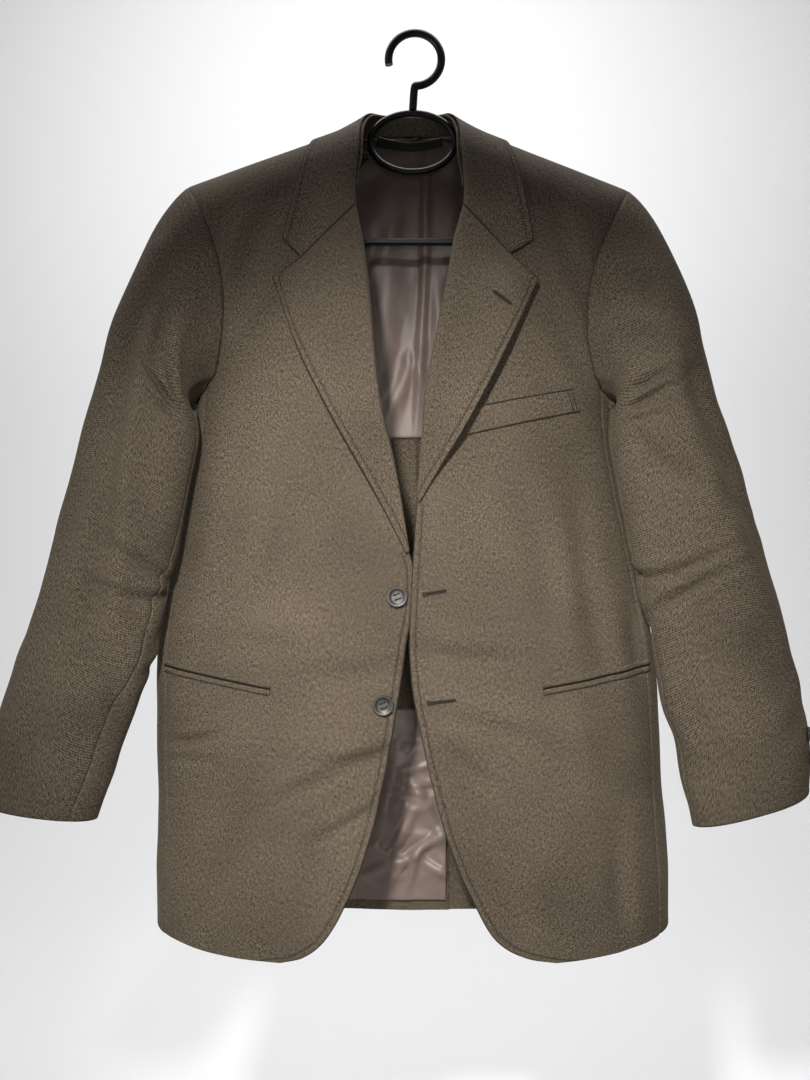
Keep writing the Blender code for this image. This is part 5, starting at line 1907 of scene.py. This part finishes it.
@dataclass
class Studio:
    """A pale floor that sweeps up behind, soft light, and the camera. Its sizes are in metres."""

    eye: tuple = (-0.0101, -1.10, -0.5103)
    lens: float = 36.14
    floor_z: float = -1.45
    floor_front_y: float = -6.0
    sweep_y: float = 3.2
    sweep_radius: float = 1.5
    flat_share: float = 0.4
    sweep_share: float = 0.3
    wall_height: float = 5.0
    width: float = 16.0
    pale: tuple = (0.80, 0.80, 0.81)
    waist: tuple = (0.03, 0.0, -0.695)
    backdrop_middle: tuple = (0.0, 3.2, -0.6)
    warm: tuple = (1.0, 0.975, 0.94)

    def build(self) -> None:
        """Sets up camera, floor and light."""
        camera = bpy.data.cameras.new("camera")
        camera.lens = self.lens
        camera.sensor_width = 36.0
        camera.clip_start = 0.02
        bpy.context.scene.camera = self._stand(camera, self.eye, (math.pi / 2, 0, 0))
        self._floor()
        self._lights()

    @staticmethod
    def _stand(data: bpy.types.ID, place: tuple, turn: tuple) -> bpy.types.Object:
        """Stands a camera or light in the scene.

        Args:
            data: the camera or light.
            place: where it stands.
            turn: its turns about X, Y and Z, in radians.

        Returns:
            The new object.
        """
        thing = bpy.data.objects.new(data.name, data)
        thing.location = place
        thing.rotation_euler = turn
        bpy.context.scene.collection.objects.link(thing)
        return thing

    def _floor(self) -> None:
        """Lays a floor that sweeps up into a backdrop."""
        clear_selection()
        bpy.ops.mesh.primitive_grid_add(x_subdivisions=2, y_subdivisions=60, size=1.0)
        floor = bpy.context.object
        floor.name = "studio_floor"
        radius = self.sweep_radius
        swept = self.flat_share + self.sweep_share
        for vertex in floor.data.vertices:
            t = vertex.co.y + 0.5
            if t < self.flat_share:
                y, z = self.floor_front_y + (self.sweep_y + 4.5) * t / self.flat_share, self.floor_z
            elif t < swept:
                angle = (t - self.flat_share) / self.sweep_share * math.pi / 2
                y = self.sweep_y - radius + radius * math.sin(angle)
                z = self.floor_z + radius * (1 - math.cos(angle))
            else:
                rise = self.wall_height * (t - swept) / (1 - swept)
                y, z = self.sweep_y, self.floor_z + radius + rise
            vertex.co = (vertex.co.x * self.width, y, z)
        floor.data.shade_smooth()
        g = Graph(bpy.data.materials.new("studio_pale"))
        darker = tuple(0.97 * c for c in self.pale)
        colour = g.mix(g.noise(g.place(), 1.5), self.pale, darker)
        floor.data.materials.append(g.finish({"Base Color": colour, "Roughness": 0.8, "Specular IOR Level": 0.2}))

    def _lights(self) -> None:
        """A key light from above in front, a fill from the front and the side, and a pale world."""
        spots = (
            ("key", (-0.21, -1.30, 0.10), 0.055, 40, 165.0),
            ("front", (0.06, -1.30, -0.50), 0.12, 54, 27.0),
        )
        for name, place, radius, spread_angle, power in spots:
            settings = {"shadow_soft_size": radius, "spot_size": math.radians(spread_angle), "spot_blend": 1.0}
            self._light(name, "SPOT", place, self.waist, energy=power, color=self.warm, **settings)
        disks = (
            ("left", (-1.6, -0.8, -0.6), self.waist, 1.2, 9.0, (1.0, 0.985, 0.96)),
            ("backdrop", (0.0, 0.7, 1.5), self.backdrop_middle, 2.6, 99.0, (1.0, 1.0, 1.0)),
        )
        for name, place, at, size, power, colour in disks:
            self._light(name, "AREA", place, at, shape="DISK", size=size, energy=power, color=colour)
        g = Graph(bpy.data.worlds.new("studio"), "Background")
        way = g.add("ShaderNodeTexCoord").outputs["Generated"]
        split = g.add("ShaderNodeSeparateXYZ", {0: way})
        tilt = g.math("ADD", split.outputs["Y"], split.outputs["Z"])
        dimmer = g.range(tilt, -0.5, 0.9, 0.13, 0.05)
        bpy.context.scene.world = g.finish({"Color": (0.95, 0.955, 0.96), "Strength": dimmer})
        bpy.context.scene.view_settings.view_transform = "Standard"

    def _light(self, name: str, kind: str, place: tuple, at: tuple, **settings: object) -> None:
        """Stands a light so that it looks at a point.

        Args:
            name: its name.
            kind: its type.
            place: where it stands.
            at: what it looks at.
            settings: its own settings.
        """
        light = bpy.data.lights.new(name, kind)
        for setting, value in settings.items():
            setattr(light, setting, value)
        self._stand(light, place, (Vector(at) - Vector(place)).to_track_quat("-Z", "Y").to_euler())


def main() -> None:
    """Builds the studio, then every piece of the blazer and its hanger."""
    logging.basicConfig(level=logging.INFO, format="%(message)s")
    wool = WoolFinish().material()
    stitched_and_shaded = WoolFinish(name="brown_wool_stitched_and_shaded", stitched_and_shaded=True).material()
    thread = THREAD.material()
    Studio().build()
    Panels(wool, stitched_and_shaded).build()
    SleevePair(wool).build()
    Collar(wool, stitched_and_shaded).build()
    Pockets(wool, POCKET_THREAD_AND_SHADE.material()).build()
    Lining(SATIN.material(), LABEL.material()).build()
    Buttons(HORN.material(), thread).build()
    Buttonholes(thread).build()
    Hanger(PLASTIC.material()).build()


if __name__ == "__main__":
    main()
